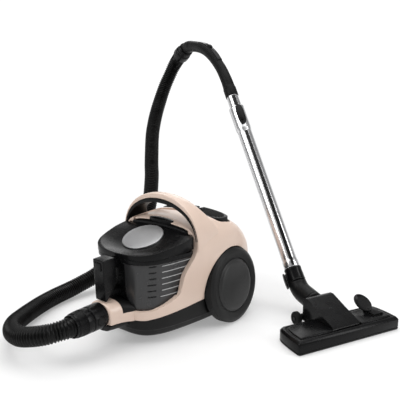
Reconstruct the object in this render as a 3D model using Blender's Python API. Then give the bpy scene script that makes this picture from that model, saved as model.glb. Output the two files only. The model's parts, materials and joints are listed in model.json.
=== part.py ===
"""Bagless canister vacuum cleaner: canister, dust container, hose, wand and floor head.

Built in millimetres about the middle of the wheel axle (+X the canister's left, -Y its
front, Z up from the floor) and written out in metres about the middle of the footprint.
"""
import bpy
import bmesh
import math
from mathutils import Matrix, Vector

MM = 0.001
SHIFT = Vector((-34.8, -32.0, 0.0))      # puts the middle of the footprint at the origin, mm
GAP = 0.3                               # clearance between neighbouring parts, mm

# canister body
BODY_HALF_PLAN = [(0, -237), (38, -235), (64, -225), (82, -204), (94, -175), (102, -143),
                  (109, -105), (115, -65), (118, -20), (117, 25), (112, 65), (102, 95),
                  (82, 115), (50, 126), (0, 130)]
BODY_WAIST = -40.0                      # plan scales toward this line, front and rear apart
BODY_LEVELS = [                         # height, width scale, front scale, rear scale
    (18, .84, .885, .80), (21, .885, .91, .85), (30, .92, .93, .90), (44, .945, .95, .94),
    (60, .96, .962, .97), (80, .975, .972, .99), (105, .99, .982, 1.0), (135, 1.0, .99, 1.0),
    (160, 1.0, 1.0, .955), (180, .98, 1.0, .88), (198, .955, 1.0, .78), (212, .91, 1.0, .67),
    (224, .82, .96, .55), (234, .66, .84, .41), (240, .40, .55, .24), (241.5, .18, .25, .10)]
SPLIT_LINE = [(-320, 57), (-223, 58.5), (-204, 61), (-168, 65.5), (-120, 70.5), (-86, 74.5),
              (-50, 77), (-48, 112), (72, 112), (74, 80), (180, 78)]
BAND_LINE = [(-320, 78), (-217, 79), (-192, 84), (-166, 94), (-148, 104), (-140, 124),
             (-133, 145), (-119, 163), (-105, 177), (-97.5, 192), (-97, 205), (-97, 420),
             (-320, 420)]
CAVITY_HALF_WIDTH = 89.0

# dust container
CUP_HALF_PLAN = [(0, -229), (36, -227), (60, -218), (77, -198), (87, -171), (93, -142),
                 (97, -118), (97, -101)]
CUP_CENTRE = (0.0, -150.0)
CUP_BOTTOM, CUP_TOP = 66.0, 187.0
CUP_WALL = 2.6
BADGE_CENTRE, BADGE_RADIUS, BADGE_TILT = (0, -150.5, 211.0), 45.0, math.radians(18.3)

# wheels
WHEEL_RADIUS, WHEEL_WIDTH, CAMBER = 85.0, 27.0, math.radians(6)
WHEEL_CENTRE = (118.0, 8.0, 84.55)
CASTER_XY, CASTER_RADIUS = (0.0, -158.0), 15.0

# hose, inlet and wand
INLET = Vector((0, -278, 77))
RELEASE_BACK = 20.0                     # hose release buttons, from the connector's seat
HOSE_DIAMETER = 40.0
WAND_START = Vector((187, 157, 96))
WAND_AXIS = Vector((-0.5513, 0.2353, 0.8004)).normalized()
TUBE_OUTER, TUBE_INNER, TUBE_WALL = 18.0, 15.6, 1.0

# floor head: origin under the middle of its front edge
HEAD_ORIGIN = Vector((383.5, 72.5, 0))
HEAD_X = Vector((0.3926, 0.9197, 0)).normalized()
HEAD_LENGTH, HEAD_DEPTH = 270.0, 84.0

FINISHES = {                            # colour, metallic, roughness
    "rose_gloss": ((0.67, 0.50, 0.42, 1), 0.0, 0.28),
    "black_gloss": ((0.018, 0.018, 0.020, 1), 0.0, 0.22),
    "black_satin": ((0.030, 0.030, 0.032, 1), 0.0, 0.45),
    "smoked_clear": ((0.055, 0.055, 0.060, 1), 0.0, 0.10),
    "silver": ((0.62, 0.62, 0.63, 1), 1.0, 0.30),
    "chrome": ((0.72, 0.72, 0.74, 1), 1.0, 0.12),
    "rubber": ((0.022, 0.022, 0.022, 1), 0.0, 0.80),
    "steel": ((0.50, 0.50, 0.52, 1), 1.0, 0.35),
    "filter": ((0.80, 0.80, 0.78, 1), 0.0, 0.95),
    "housing": ((0.16, 0.17, 0.18, 1), 0.0, 0.60),
    "bristle": ((0.10, 0.10, 0.11, 1), 0.0, 0.90),
    "copper": ((0.60, 0.32, 0.18, 1), 1.0, 0.40),
}


# ---------------------------------------------------------------- scene and objects

def clear_scene():
    for ob in list(bpy.data.objects):
        bpy.data.objects.remove(ob, do_unlink=True)
    for col in list(bpy.data.collections):
        bpy.data.collections.remove(col)


def finish_material(name, finish):
    """A Principled material for one part."""
    colour, metallic, roughness = FINISHES[finish]
    mat = bpy.data.materials.new(name + "_" + finish)
    mat.use_nodes = True
    shader = mat.node_tree.nodes["Principled BSDF"]
    shader.inputs["Base Color"].default_value = colour
    shader.inputs["Metallic"].default_value = metallic
    shader.inputs["Roughness"].default_value = roughness
    mat.diffuse_color = colour
    return mat


def solid(name, mesh, finish=None, origin=None, collection="canister_vacuum", smooth=True):
    """Adds one closed body from (points, faces) in mm; origin is the part's own axis point."""
    points, faces = mesh
    at = Vector(origin) if origin is not None else Vector((0, 0, 0))
    bm = bmesh.new()
    verts = [bm.verts.new((Vector(p) - at) * MM) for p in points]
    for face in faces:
        bm.faces.new([verts[i] for i in face])
    bmesh.ops.recalc_face_normals(bm, faces=bm.faces)
    data = bpy.data.meshes.new(name)
    bm.to_mesh(data)
    bm.free()
    if smooth:
        data.polygons.foreach_set("use_smooth", [True] * len(data.polygons))
        data.set_sharp_from_angle(angle=math.radians(32))
    ob = bpy.data.objects.new(name, data)
    ob.location = (at + SHIFT) * MM
    bpy.data.collections[collection].objects.link(ob)
    if finish:
        data.materials.append(finish_material(name, finish))
    return ob


def cutter(name, mesh, origin=None):
    ob = solid(name, mesh, None, origin, "cutters", smooth=False)
    ob.hide_render = True
    ob.display_type = "WIRE"
    return ob


def cut(target, tool, operation="DIFFERENCE"):
    mod = target.modifiers.new(tool.name, "BOOLEAN")
    mod.operation = operation
    mod.solver = "EXACT"
    mod.object = tool


# ---------------------------------------------------------------- closed meshes, in mm

def moved(mesh, frame):
    return [frame @ Vector(p) for p in mesh[0]], mesh[1]


def loft(rings):
    """Skins a stack of equal loops and closes both ends."""
    count = len(rings[0])
    points = [Vector(p) for ring in rings for p in ring]
    faces = []
    for k in range(len(rings) - 1):
        a, b = k * count, (k + 1) * count
        for i in range(count):
            j = (i + 1) % count
            faces.append((a + i, a + j, b + j, b + i))
    faces.append(tuple(range(count)))
    faces.append(tuple((len(rings) - 1) * count + i for i in range(count)))
    return points, faces


def turned(profile, segments):
    """Turns a profile of (radius, height) about Z; radius 0 closes at a pole."""
    points, rings = [], []
    for radius, height in profile:
        if radius < 1e-6:
            rings.append([len(points)])
            points.append(Vector((0, 0, height)))
        else:
            rings.append(list(range(len(points), len(points) + segments)))
            points += [Vector((radius * math.cos(2 * math.pi * i / segments),
                               radius * math.sin(2 * math.pi * i / segments), height))
                       for i in range(segments)]
    faces = []
    solid_end = len(rings[0]) == 1 and len(rings[-1]) == 1
    pairs = list(zip(rings, rings[1:])) + ([] if solid_end else [(rings[-1], rings[0])])
    for a, b in pairs:
        for i in range(segments):
            j = (i + 1) % segments
            if len(a) == 1:
                faces.append((a[0], b[i], b[j]))
            elif len(b) == 1:
                faces.append((a[i], a[j], b[0]))
            else:
                faces.append((a[i], a[j], b[j], b[i]))
    return points, faces


def disc(radius, z0, z1, segments=32, soft=0.0):
    """A plain cylinder along Z, with rounded rims where soft is given."""
    s = soft
    profile = [(0, z0), (radius - s, z0)]
    if s:
        profile += [(radius - s * .3, z0 + s * .3), (radius, z0 + s), (radius, z1 - s),
                    (radius - s * .3, z1 - s * .3), (radius - s, z1)]
    else:
        profile += [(radius, z1)]
    return turned(profile + [(0, z1)], segments)


def pipe(outer, inner, z0, z1, segments=32):
    return turned([(inner, z0), (outer, z0), (outer, z1), (inner, z1)], segments)


def axis_frame(at, direction, side=(0, 0, 1)):
    """A frame whose Z runs along direction and whose Y leans toward side."""
    z = Vector(direction).normalized()
    x = Vector(side).cross(z)
    if x.length < 1e-5:
        x = Vector((1, 0, 0)).cross(z)
    x.normalize()
    y = z.cross(x)
    return Matrix(((x.x, y.x, z.x, at[0]), (x.y, y.y, z.y, at[1]),
                   (x.z, y.z, z.z, at[2]), (0, 0, 0, 1)))


def swept(path, radii, segments, bore=None):
    """Sweeps a round section along a path; bore gives the wall's inner radius."""
    path = [Vector(p) for p in path]
    rings, inner = [], []
    tangent = (path[1] - path[0]).normalized()
    side = tangent.orthogonal().normalized()
    for k, at in enumerate(path):
        ahead = path[min(k + 1, len(path) - 1)] - path[max(k - 1, 0)]
        ahead.normalize()
        side = (tangent.rotation_difference(ahead) @ side)
        side = (side - ahead * side.dot(ahead)).normalized()
        tangent = ahead
        up = tangent.cross(side)
        r = radii[k] if isinstance(radii, (list, tuple)) else radii
        ring = []
        hole = []
        for i in range(segments):
            a = 2 * math.pi * i / segments
            spoke = side * math.cos(a) + up * math.sin(a)
            ring.append(at + spoke * r)
            if bore:
                hole.append(at + spoke * (r - bore))
        rings.append(ring)
        inner.append(hole)
    if not bore:
        return loft(rings)
    loops = rings + inner[::-1]
    count = segments
    points = [p for ring in loops for p in ring]
    faces = []
    for k in range(len(loops)):
        a, b = k * count, ((k + 1) % len(loops)) * count
        for i in range(count):
            j = (i + 1) % count
            faces.append((a + i, a + j, b + j, b + i))
    return points, faces


def block(x0, x1, y0, y1, z0, z1, bevel=0.0):
    """A box with chamfered upright corners and rims."""
    b = bevel
    if not b:
        ring = [(x0, y0), (x1, y0), (x1, y1), (x0, y1)]
        return loft([[(x, y, z) for x, y in ring] for z in (z0, z1)])

    def ring_at(inset, z):
        c = b * 1.2
        i = inset
        return [(x0 + c, y0 + i, z), (x1 - c, y0 + i, z), (x1 - i, y0 + c, z),
                (x1 - i, y1 - c, z), (x1 - c, y1 - i, z), (x0 + c, y1 - i, z),
                (x0 + i, y1 - c, z), (x0 + i, y0 + c, z)]
    return loft([ring_at(b * .7, z0), ring_at(0, z0 + b), ring_at(0, z1 - b),
                 ring_at(b * .7, z1)])


def prism_x(profile, x0, x1):
    """A (y, z) outline drawn out along X."""
    return loft([[(x, y, z) for y, z in profile] for x in (x0, x1)])


def slab(outline, top, bottom, shrink=(1.0, 0.97, 0.8, 0.5, 0.22), centre=None):
    """A plate of any plan with shaped top and bottom; both are heights of (x, y)."""
    count = len(outline)
    cx = centre[0] if centre else sum(p[0] for p in outline) / count
    cy = centre[1] if centre else sum(p[1] for p in outline) / count
    points, faces, rows = [], [], []
    for height, order in ((bottom, reversed(shrink)), (top, shrink)):
        for s in order:
            rows.append(len(points))
            for x, y in outline:
                px, py = cx + (x - cx) * s, cy + (y - cy) * s
                points.append(Vector((px, py, height(px, py))))
    for a, b in zip(rows, rows[1:]):
        for i in range(count):
            j = (i + 1) % count
            faces.append((a + i, a + j, b + j, b + i))
    for row, height in ((rows[0], bottom), (rows[-1], top)):
        hub = len(points)
        points.append(Vector((cx, cy, height(cx, cy))))
        for i in range(count):
            faces.append((hub, row + i, row + (i + 1) % count))
    return points, faces


def smooth_curve(points, steps, closed=False):
    """Catmull-Rom samples through the points."""
    pts = [Vector(p) for p in points]
    n = len(pts)
    out = []
    last = n if closed else n - 1
    for i in range(last):
        if closed:
            p0, p1, p2, p3 = (pts[(i + k - 1) % n] for k in range(4))
        else:
            p0, p1, p2, p3 = pts[max(i - 1, 0)], pts[i], pts[i + 1], pts[min(i + 2, n - 1)]
        for s in range(steps):
            t = s / steps
            out.append(0.5 * ((2 * p1) + (p2 - p0) * t + (2 * p0 - 5 * p1 + 4 * p2 - p3) * t * t
                              + (3 * p1 - p0 - 3 * p2 + p3) * t ** 3))
    if not closed:
        out.append(pts[-1])
    return out


def resampled(points, count):
    """Equal steps along a polyline."""
    run = [0.0]
    for a, b in zip(points, points[1:]):
        run.append(run[-1] + (b - a).length)
    out, k = [], 0
    for i in range(count):
        want = run[-1] * i / (count - 1)
        while k < len(points) - 2 and run[k + 1] < want:
            k += 1
        span = run[k + 1] - run[k]
        out.append(points[k].lerp(points[k + 1], (want - run[k]) / span if span else 0))
    return out


def mirrored_plan(half, steps=3):
    """A closed smooth plan from its +X half, front to rear."""
    loop = [(x, y) for x, y in half] + [(-x, y) for x, y in reversed(half) if x > 0]
    pts = smooth_curve([(x, y, 0) for x, y in loop], steps, closed=True)
    return [(p.x, p.y) for p in pts]


def oval(cx, cy, a, b, count=20, power=2.0):
    out = []
    for i in range(count):
        t = 2 * math.pi * i / count
        c, s = math.cos(t), math.sin(t)
        out.append((cx + a * math.copysign(abs(c) ** (2 / power), c),
                    cy + b * math.copysign(abs(s) ** (2 / power), s)))
    return out


# ---------------------------------------------------------------- canister

def even_plan(half, count):
    """The whole closed plan in equal steps."""
    plan = mirrored_plan(half, 5)
    loop = [Vector((x, y, 0)) for x, y in plan + plan[:1]]
    return [(p.x, p.y) for p in resampled(loop, count + 1)[:-1]]


BODY_PLAN = even_plan(BODY_HALF_PLAN, 44)
CORD_OUTLET = axis_frame((48, 0, 56), (0, 1, 0))        # the power cord's way out, low at the rear


def body_ring(z, grow=0.0):
    levels = BODY_LEVELS
    for (za, *a), (zb, *b) in zip(levels, levels[1:]):
        if z <= zb:
            t = max(0.0, (z - za) / (zb - za))
            sx, sf, sr = (u + (v - u) * t for u, v in zip(a, b))
            break
    else:
        sx, sf, sr = levels[-1][1:]
    ring = []
    for x, y in BODY_PLAN:
        s = sf if y < BODY_WAIST else sr
        ring.append((x * sx * (1 + grow), BODY_WAIST + (y - BODY_WAIST) * s * (1 + grow), z))
    return ring


def body_envelope():
    return loft([body_ring(level[0]) for level in BODY_LEVELS])


def cup_plan(grow=0.0, scale=1.0, rear_limit=20.0):
    """Plan of the dust cup: rounded front, hollowed rear wall; grow is outward in mm."""
    half = smooth_curve([(x, y, 0) for x, y in CUP_HALF_PLAN], 2)
    right = [(p.x, p.y) for p in half]
    rear = [(x, rear_wall(x)) for x in (64, 32, 0, -32, -64)]
    left = [(-x, y) for x, y in reversed(right) if x > 0]
    out = []
    for x, y in right + rear + left:
        dx, dy = x - CUP_CENTRE[0], y - CUP_CENTRE[1]
        far = math.hypot(dx, dy)
        k = scale + grow / far
        out.append((CUP_CENTRE[0] + dx * k, min(CUP_CENTRE[1] + dy * k, rear_wall(x) + rear_limit)))
    return out


def rear_wall(x):
    return -105.0 + 4.5 * (x / 95.0) ** 2


def cup_scale(z):
    return 0.945 + 0.055 * (z - CUP_BOTTOM) / (CUP_TOP - CUP_BOTTOM)


def wheel_frame(side):
    """Wheel axle frame; Z points outward, tipped up by the camber."""
    return axis_frame((WHEEL_CENTRE[0] * side, WHEEL_CENTRE[1], WHEEL_CENTRE[2]),
                      (side * math.cos(CAMBER), 0, math.sin(CAMBER)))


def arch_station(angle, a, h, front, rear, thick, power, low=200.0):
    """One section of the carry handle, front to rear, as a ring of eight points."""
    c, s = math.cos(angle), math.sin(angle)
    p = 2 / power
    x = math.copysign(abs(c) ** p, c)
    z = abs(s) ** p
    ring = []
    for y, lift, inset in ((front, 0, 1.6), (front + 3, 0, 0), (rear - 4, -5.4, 0),
                           (rear, -7.2, 2.0), (rear, -7.2, thick - 2.0),
                           (rear - 4, -5.4, thick), (front + 3, 0, thick),
                           (front, 0, thick - 1.6)):
        ra, rh = a - inset * 0.32, h + lift * z - inset
        ring.append((x * ra, y, low + z * rh))
    return ring


def arch(a, h, front, depth, thick, power, stations=21, sink=16.0, start=0.0):
    """The carry handle's hoop, deeper toward its feet; start leaves out part of each foot."""
    rings = []
    for k in range(stations):
        angle = math.pi * (start + (1 - 2 * start) * k / (stations - 1))
        rear = front + depth + 32 * abs(math.cos(angle)) ** 6
        rings.append(arch_station(angle, a, h, front, rear, thick, power))
    first = [(x, y, z - sink) for x, y, z in rings[0]]
    last = [(x, y, z - sink) for x, y, z in rings[-1]]
    return loft([first] + rings + [last] if sink else rings)


def add_canister():
    wide = 400.0
    env = body_envelope()
    split_up = [(y, z + GAP) for y, z in SPLIT_LINE]
    below = cutter("cut_below_split", prism_x(split_up + [(180, -20), (-320, -20)], -wide, wide))
    above = cutter("cut_above_split", prism_x(SPLIT_LINE + [(180, 400), (-320, 400)],
                                              -wide, wide))
    plan = oval(0, 10, CAVITY_HALF_WIDTH, 103, 40, 3.2)
    hollow = cutter("cut_hollow", loft([[(x * s, 10 + (y - 10) * s, z) for x, y in plan]
                                        for z, s in ((26, .90), (40, .97), (110, 1.0),
                                                     (165, .97), (196, .84))]))
    bay = cutter("cut_cup_bay", loft([[(x, y, z) for x, y in cup_plan(GAP + .5, cup_scale(z))]
                                      for z in (CUP_BOTTOM - 3.0, CUP_TOP, 420.0)]))
    face = cutter("cut_above_band", prism_x(BAND_LINE, -wide, wide))
    wall = cutter("cut_bulkhead_room", block(-92.5, 92.5, -150, -91, 60.5, 219))
    wells = [cutter("cut_well_" + n, moved(disc(89.7, -15.5, 60, 36), wheel_frame(s)))
             for n, s in (("left", 1), ("right", -1))]
    bores = [cutter("cut_axle_" + n, moved(disc(6.3, -27, 8, 20), wheel_frame(s)))
             for n, s in (("left", 1), ("right", -1))]

    base = solid("base_pan", env, "black_satin")
    cut(base, above)
    cut(base, hollow)
    sweep = [math.radians(-39.5 - 101 * i / 14) for i in range(15)]
    cradle = [[(30 * math.cos(t), y, INLET.z + 30 * math.sin(t)) for t in sweep]
              for y in (INLET.y + 6, -216)]
    cut(base, cutter("join_inlet_cradle", loft(cradle)), "UNION")
    room = [(0, -5), (27.5, -5), (27.5, 41), (5.3, 41), (5.3, 51), (0, 51)]
    caster = cutter("cut_caster", moved(turned(room, 28), Matrix.Translation((*CASTER_XY, 0))))
    for tool in [bay, wall] + wells + bores + [caster]:
        cut(base, tool)
    gland_hole = cutter("cut_gland", moved(disc(9.3, 60, 200, 24), CORD_OUTLET))
    cut(base, gland_hole)

    shell = solid("upper_shell", env, "rose_gloss")
    cut(shell, below)
    cut(shell, hollow)
    cut(shell, bay)
    cut(shell, face)
    cut(shell, wall)
    for tool in wells:
        cut(shell, tool)
    inlet_hole = cutter("cut_inlet", moved(disc(26.4, -10, 60, 32),
                                           axis_frame(INLET, (0, 1, 0))))
    cut(shell, inlet_hole)
    cut(base, inlet_hole)
    deck_room = cutter("cut_deck_room", loft([[(x, y, z) for x, y in deck_plan(GAP)]
                                              for z in (212.0, 400.0)]))
    cut(shell, deck_room)
    pedal_room = cutter("cut_pedal_room", loft([[(x, y, z) for x, y in rear_plan(GAP)]
                                                for z in (200.0, 400.0)]))
    cut(shell, pedal_room)
    grille_room = cutter("cut_grille_room", block(-52.3, 52.3, 95, 160, 91.7, 150.3))
    cut(shell, grille_room)

    handle = solid("carry_handle", arch(109.0, 95.0, -97.0, 39.0, 11.5, 2.12), "rose_gloss")
    seat = [[(x, y, z + GAP) for x, y, z in body_ring(level[0], .003)] for level in BODY_LEVELS]
    cut(handle, cutter("cut_handle_seat", loft(seat)))
    liner = arch(104.4, 81.8, -95.0, 33.0, 6.0, 2.12, 15, 0.0, 0.12)
    solid("handle_liner", liner, "black_satin")

    bulk = [(x, rear_wall(x) + 2.4) for x in [92 - 184 * i / 12 for i in range(13)]]
    bulkhead = solid("filter_housing", loft([[(x, y, z) for x, y in
                                              bulk + [(-92, -91.4), (92, -91.4)]]
                                             for z in (62.4, 211.6)]), "black_satin")
    port = cutter("cut_port", moved(disc(38, -40, 40, 36), axis_frame((0, -105, 140), (0, 1, 0))))
    cut(bulkhead, port)
    cut(bulkhead, inlet_hole)
    filt = moved(disc(37.4, -5.0, 3, 28), axis_frame((0, -97, 140), (0, 1, 0)))
    solid("pre_motor_filter", filt, "filter")

    add_deck()
    add_rear()
    add_inside(base)


def deck_top(x, y):
    return 244.0 - 0.0014 * x * x - 0.0042 * (y + 52) ** 2


def deck_plan(grow=0.0):
    xs = [80 - 160 * i / 10 for i in range(11)]
    front = [(x, rear_wall(x) + 0.6) for x in xs]
    g = grow
    corners = [(-80 - g, -24 + g), (-40, -17 + g), (0, -15 + g), (40, -17 + g), (80 + g, -24 + g)]
    return [(x * (1 + g / 80), y - g) for x, y in front] + corners


def rear_plan(grow=0.0):
    g = grow
    return [(x * (1 + g / 60), y + math.copysign(g, y - 20)) for x, y in
            [(-86, -4), (-60, -9), (-20, -12), (20, -12), (60, -9), (86, -4), (92, 16), (88, 40),
             (60, 50), (20, 54), (-20, 54), (-60, 50), (-88, 40), (-92, 20)]]


def button_top(x, y):
    return 241.0 - 0.003 * x * x - 0.03 * (y + 91.5) ** 2


def rear_deck_top(x, y):
    return 212 - 0.0006 * x * x - 0.002 * (y - 20) ** 2


def pedal_top(x, y):
    """Crowned tread with a raised bar every 10 mm."""
    bar = 1.0 if int((y - 6) / 5) % 2 == 0 and 6 < y < 42 else 0.0
    return 239.5 - 0.0011 * x * x - 0.0022 * (y - 15) ** 2 + bar


def add_deck():
    plan = deck_plan()
    plate = slab(plan, deck_top, lambda x, y: deck_top(x, y) - 4.5, centre=(0, -64))
    deck = solid("top_deck", plate, "rose_gloss")
    inner = [(x * .985, -64 + (y + 64) * .95) for x, y in plan]
    latch = solid("latch_housing", slab(inner, lambda x, y: deck_top(x, y) - 6.0,
                                        lambda x, y: 212.3, centre=(0, -64)), "black_satin")
    room = cutter("cut_button", loft([[(x, y, z) for x, y in oval(0, -91.5, 34.5, 10.5, 24)]
                                      for z in (221, 260)]))
    cut(deck, room)
    cut(latch, room)
    button = slab(oval(0, -91.5, 34, 10, 24), button_top, lambda x, y: 226.0, (1.0, .93, .5))
    solid("cup_release_button", button, "black_gloss", (0, -91.5, 234))


def add_rear():
    plate = slab(rear_plan(), rear_deck_top, lambda x, y: 200.3, (1.0, .6, .3), (0, 22))
    solid("rear_deck", plate, "black_satin")
    half = [(6, -7), (40, -6), (68, -3), (83, 6), (87, 22), (84, 38), (66, 45), (36, 48), (6, 49)]
    for name, side in (("power_pedal", 1), ("rewind_pedal", -1)):
        plan = [(side * x, y) for x, y in half][::side]
        tread = slab(plan, pedal_top, lambda x, y: 216.0, (1.0, .95, .72, .5, .25),
                     (side * 45, 25))
        solid(name, tread, "black_satin", (side * 45, 25, 222))


def add_inside(base):
    """Motor and fan behind the filter, cord reel beside them, exhaust at the rear."""
    along = axis_frame((-30, -40, 104), (0, 1, 0))
    case = [(0, 0), (30, 0), (50, 8), (53, 20), (53, 52), (44, 62), (42, 96), (0, 96)]
    housing = solid("motor_housing", moved(turned(case, 24), along), "housing")
    room = [(0, -8), (22, -8), (22, 3), (29, 3), (47, 10), (50, 21), (50, 50), (41, 60),
            (39, 93), (0, 93)]
    cut(housing, cutter("cut_motor_room", moved(turned(room, 22), along)))
    vent = axis_frame((-30, 38, 104), (0, 0, -1))
    cut(housing, cutter("cut_motor_vent", moved(disc(8, 20, 70, 20), vent)))
    core = [(5.2, 38), (37, 38), (37, 88), (5.2, 88)]
    solid("motor_core", moved(turned(core, 24), along), "copper")
    blade = [(0, 8), (12, 8), (44, 17), (45.5, 20), (45.5, 33), (4.7, 34), (4.7, 90), (0, 90)]
    solid("fan_impeller", moved(turned(blade, 24), along), "steel", along.translation)

    reel_axis = axis_frame((58, 14, 96), (1, 0, 0))
    spool = [(8.3, -17), (58, -17), (58, -14.5), (26, -14.5), (26, 14.5), (58, 14.5), (58, 17),
             (8.3, 17)]
    solid("cord_reel", moved(turned(spool, 28), reel_axis), "black_satin",
          reel_axis.translation)
    spindle = [(0, -23), (12, -23), (12, -17.3), (8, -17.3), (8, 17.3), (12, 17.3), (12, 32.5),
               (0, 32.5)]
    cut(base, cutter("join_reel_spindle", moved(turned(spindle, 24), reel_axis)), "UNION")
    gland = [(4, 100), (9, 100), (9, 124), (13, 124.3), (13, 127), (10, 129), (4, 129)]
    solid("cord_gland", moved(turned(gland, 24), CORD_OUTLET), "rubber")

    grille = solid("exhaust_grille", loft([grille_ring(113.0), grille_ring(121.0)]),
                   "black_satin")
    for k in range(7):
        z = 98 + k * 7.6
        slot = block(-44, 44, 100, 140, z + .37, z + 4.1)
        cut(grille, cutter("cut_grille_slot_%d" % (k + 1), slot))
    solid("hepa_filter", block(-48, 48, 97, 112.5, 95, 147, 1.5), "filter")


def grille_ring(y):
    """Outline of the louvre panel at a depth; its outer face bows out toward the rear."""
    ring = []
    for z, bow, xs in ((92, 6.5, (-52, -26, 0, 26, 52)), (150, 4.5, (52, 26, 0, -26, -52))):
        for x in xs:
            ring.append((x, y + bow - 6.5 * (x / 52.0) ** 2 if y > 115 else y, z))
    return ring


def add_wheels():
    half = WHEEL_WIDTH / 2
    r = WHEEL_RADIUS
    tyre = [(8.3, -half), (60, -half), (72, -half + 3), (r - 5, -half), (r - 1, -half + 4),
            (r, 0), (r - 1.5, half - 6), (r - 6, half - 1.5), (r - 12, half), (64, half - 1),
            (59.5, half - 4), (59.5, half - 9), (8.3, half - 9)]
    cap = [(0, half - 8.7), (59.2, half - 8.7), (59.2, half - 3), (56, half - .5), (48, half + 2.0),
           (30, half + 4.2), (12, half + 5.0), (0, half + 5.2)]
    for name, side in (("left", 1), ("right", -1)):
        frame = wheel_frame(side)
        at = frame.translation
        solid("wheel_" + name, moved(turned(tyre, 32), frame), "rubber", at)
        solid("hub_cap_" + name, moved(turned(cap, 28), frame), "black_satin", at)
        pin = [(0, -26), (6, -26), (6, -14.6), (8, -14.5), (8, half - 9.5), (0, half - 9.5)]
        solid("axle_" + name, moved(turned(pin, 16), frame), "steel", at)


def add_caster():
    x, y = CASTER_XY
    r = CASTER_RADIUS
    trail = 8.0
    at = Matrix.Translation((x, y, 0))
    fork = solid("caster_fork", moved(turned([(0, 33.5), (25, 33.5), (25, 40.5), (5, 40.7), (5, 50),
                                              (0, 50)], 32), at), "black_satin", (x, y, 40))
    cheeks = cutter("join_caster_cheeks", block(x - 13.5, x + 13.5, y - 2, y + 18, 10, 35, 0))
    cut(fork, cheeks, "UNION")
    slot = cutter("cut_caster_slot", block(x - 9.3, x + 9.3, y - 12, y + 30, -5, 33.0, 0))
    cut(fork, slot)
    spindle = axis_frame((x, y + trail, r), (1, 0, 0))
    cut(fork, cutter("join_caster_pin", moved(disc(2.0, -13.0, 13.0, 16), spindle)), "UNION")
    roller = turned([(2.35, -9), (12.5, -9), (r, -6.5), (r, 6.5), (12.5, 9), (2.35, 9)], 20)
    solid("caster_wheel", moved(roller, spindle), "rubber", spindle.translation)


# ---------------------------------------------------------------- dust container

def lid_height(x, y):
    """Upper face of the lid: a shallow crown that slopes up toward the rear."""
    ridge = 209.5 + (y + 147) * 0.33
    edge = 198.0 + (y + 227) * 0.16
    along = (y + 150) / -82.0 if y < -150 else 0.35 * (y + 150) / 60.0
    out = min(1.0, math.hypot(x / 98.0, along))
    k = max(0.0, min(1.0, (1.0 - out) / 0.55))
    return edge + (ridge - edge) * (k * k * (3 - 2 * k) if ridge > edge else k)


def add_container():
    def stack(grow, levels):
        return loft([[(x, y, z) for x, y in cup_plan(grow, cup_scale(z))] for z in levels])

    cup = solid("dust_cup", stack(0, (CUP_BOTTOM, 110, 150, CUP_TOP)), "smoked_clear",
                (0, -150, CUP_TOP))
    cut(cup, cutter("cut_cup_inside", stack(-CUP_WALL, (40, 110, 150, 220))))
    port = axis_frame((0, -227, 96), (0, 1, 0))
    cut(cup, cutter("cut_cup_port", moved(disc(15.3, -25, 20, 28), port)))

    cover = slab(cup_plan(3.5, 1.0, -0.4), lid_height,
                 lambda x, y: CUP_TOP + .3 + (y + 227) * .035, (1.0, .96, .8, .62, .4), (0, -150))
    lid = solid("cup_lid", cover, "black_gloss", (0, -150, CUP_TOP))
    tilt = axis_frame(BADGE_CENTRE, (0, -math.sin(BADGE_TILT), math.cos(BADGE_TILT)))
    cut(lid, cutter("cut_badge", moved(disc(BADGE_RADIUS + .3, -3.2, 30, 36), tilt)))
    r = BADGE_RADIUS
    face = [(0, -2.9), (r, -2.9), (r, .4), (r - 1.5, 1.6), (r - 13, 2.6), (0, 3.2)]
    solid("badge_disc", moved(turned(face, 36), tilt), "silver", tilt.translation)

    # front grip: an upright bar standing off the cup on two arms
    bar = block(-15, 15, -282, -246, 106, 193, 5.0)
    grip = solid("cup_handle", bar, "black_gloss", (0, -240, 150))
    cut(grip, cutter("join_grip_top", block(-12, 12, -258, -229.0, 168, 184.5, 0)), "UNION")
    cut(grip, cutter("join_grip_foot", block(-12, 12, -258, -228.0, 112, 124, 0)), "UNION")
    cut(grip, cutter("cut_latch_room", block(-8.3, 8.3, -300, -267.5, 171, 187, 0)))
    solid("lid_latch_button", block(-8, 8, -284, -272, 171.3, 186.7, 1.5), "black_satin",
          (0, -272, 179))

    floor = [[(x, y, z) for x, y in cup_plan(-CUP_WALL - .4, cup_scale(70))]
             for z in (CUP_BOTTOM + .2, 69.5)]
    solid("cup_base", loft(floor), "smoked_clear", (0, -150, 67))

    funnel = turned([(30, 86), (33, 86), (22, 92), (20, 108), (34, 150), (36, 184), (33.5, 184),
                     (31.5, 151), (17.5, 109), (19.5, 91)], 24)
    solid("cyclone_cone", moved(funnel, Matrix.Translation((0, -170, 0))), "housing")
    mesh = turned([(9, 128), (14, 128), (14, 184), (11.5, 184), (11.5, 130.5), (9, 130.5)], 20)
    solid("mesh_filter", moved(mesh, Matrix.Translation((0, -170, 0))), "steel")


# ---------------------------------------------------------------- inlet, connector and hose

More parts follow.
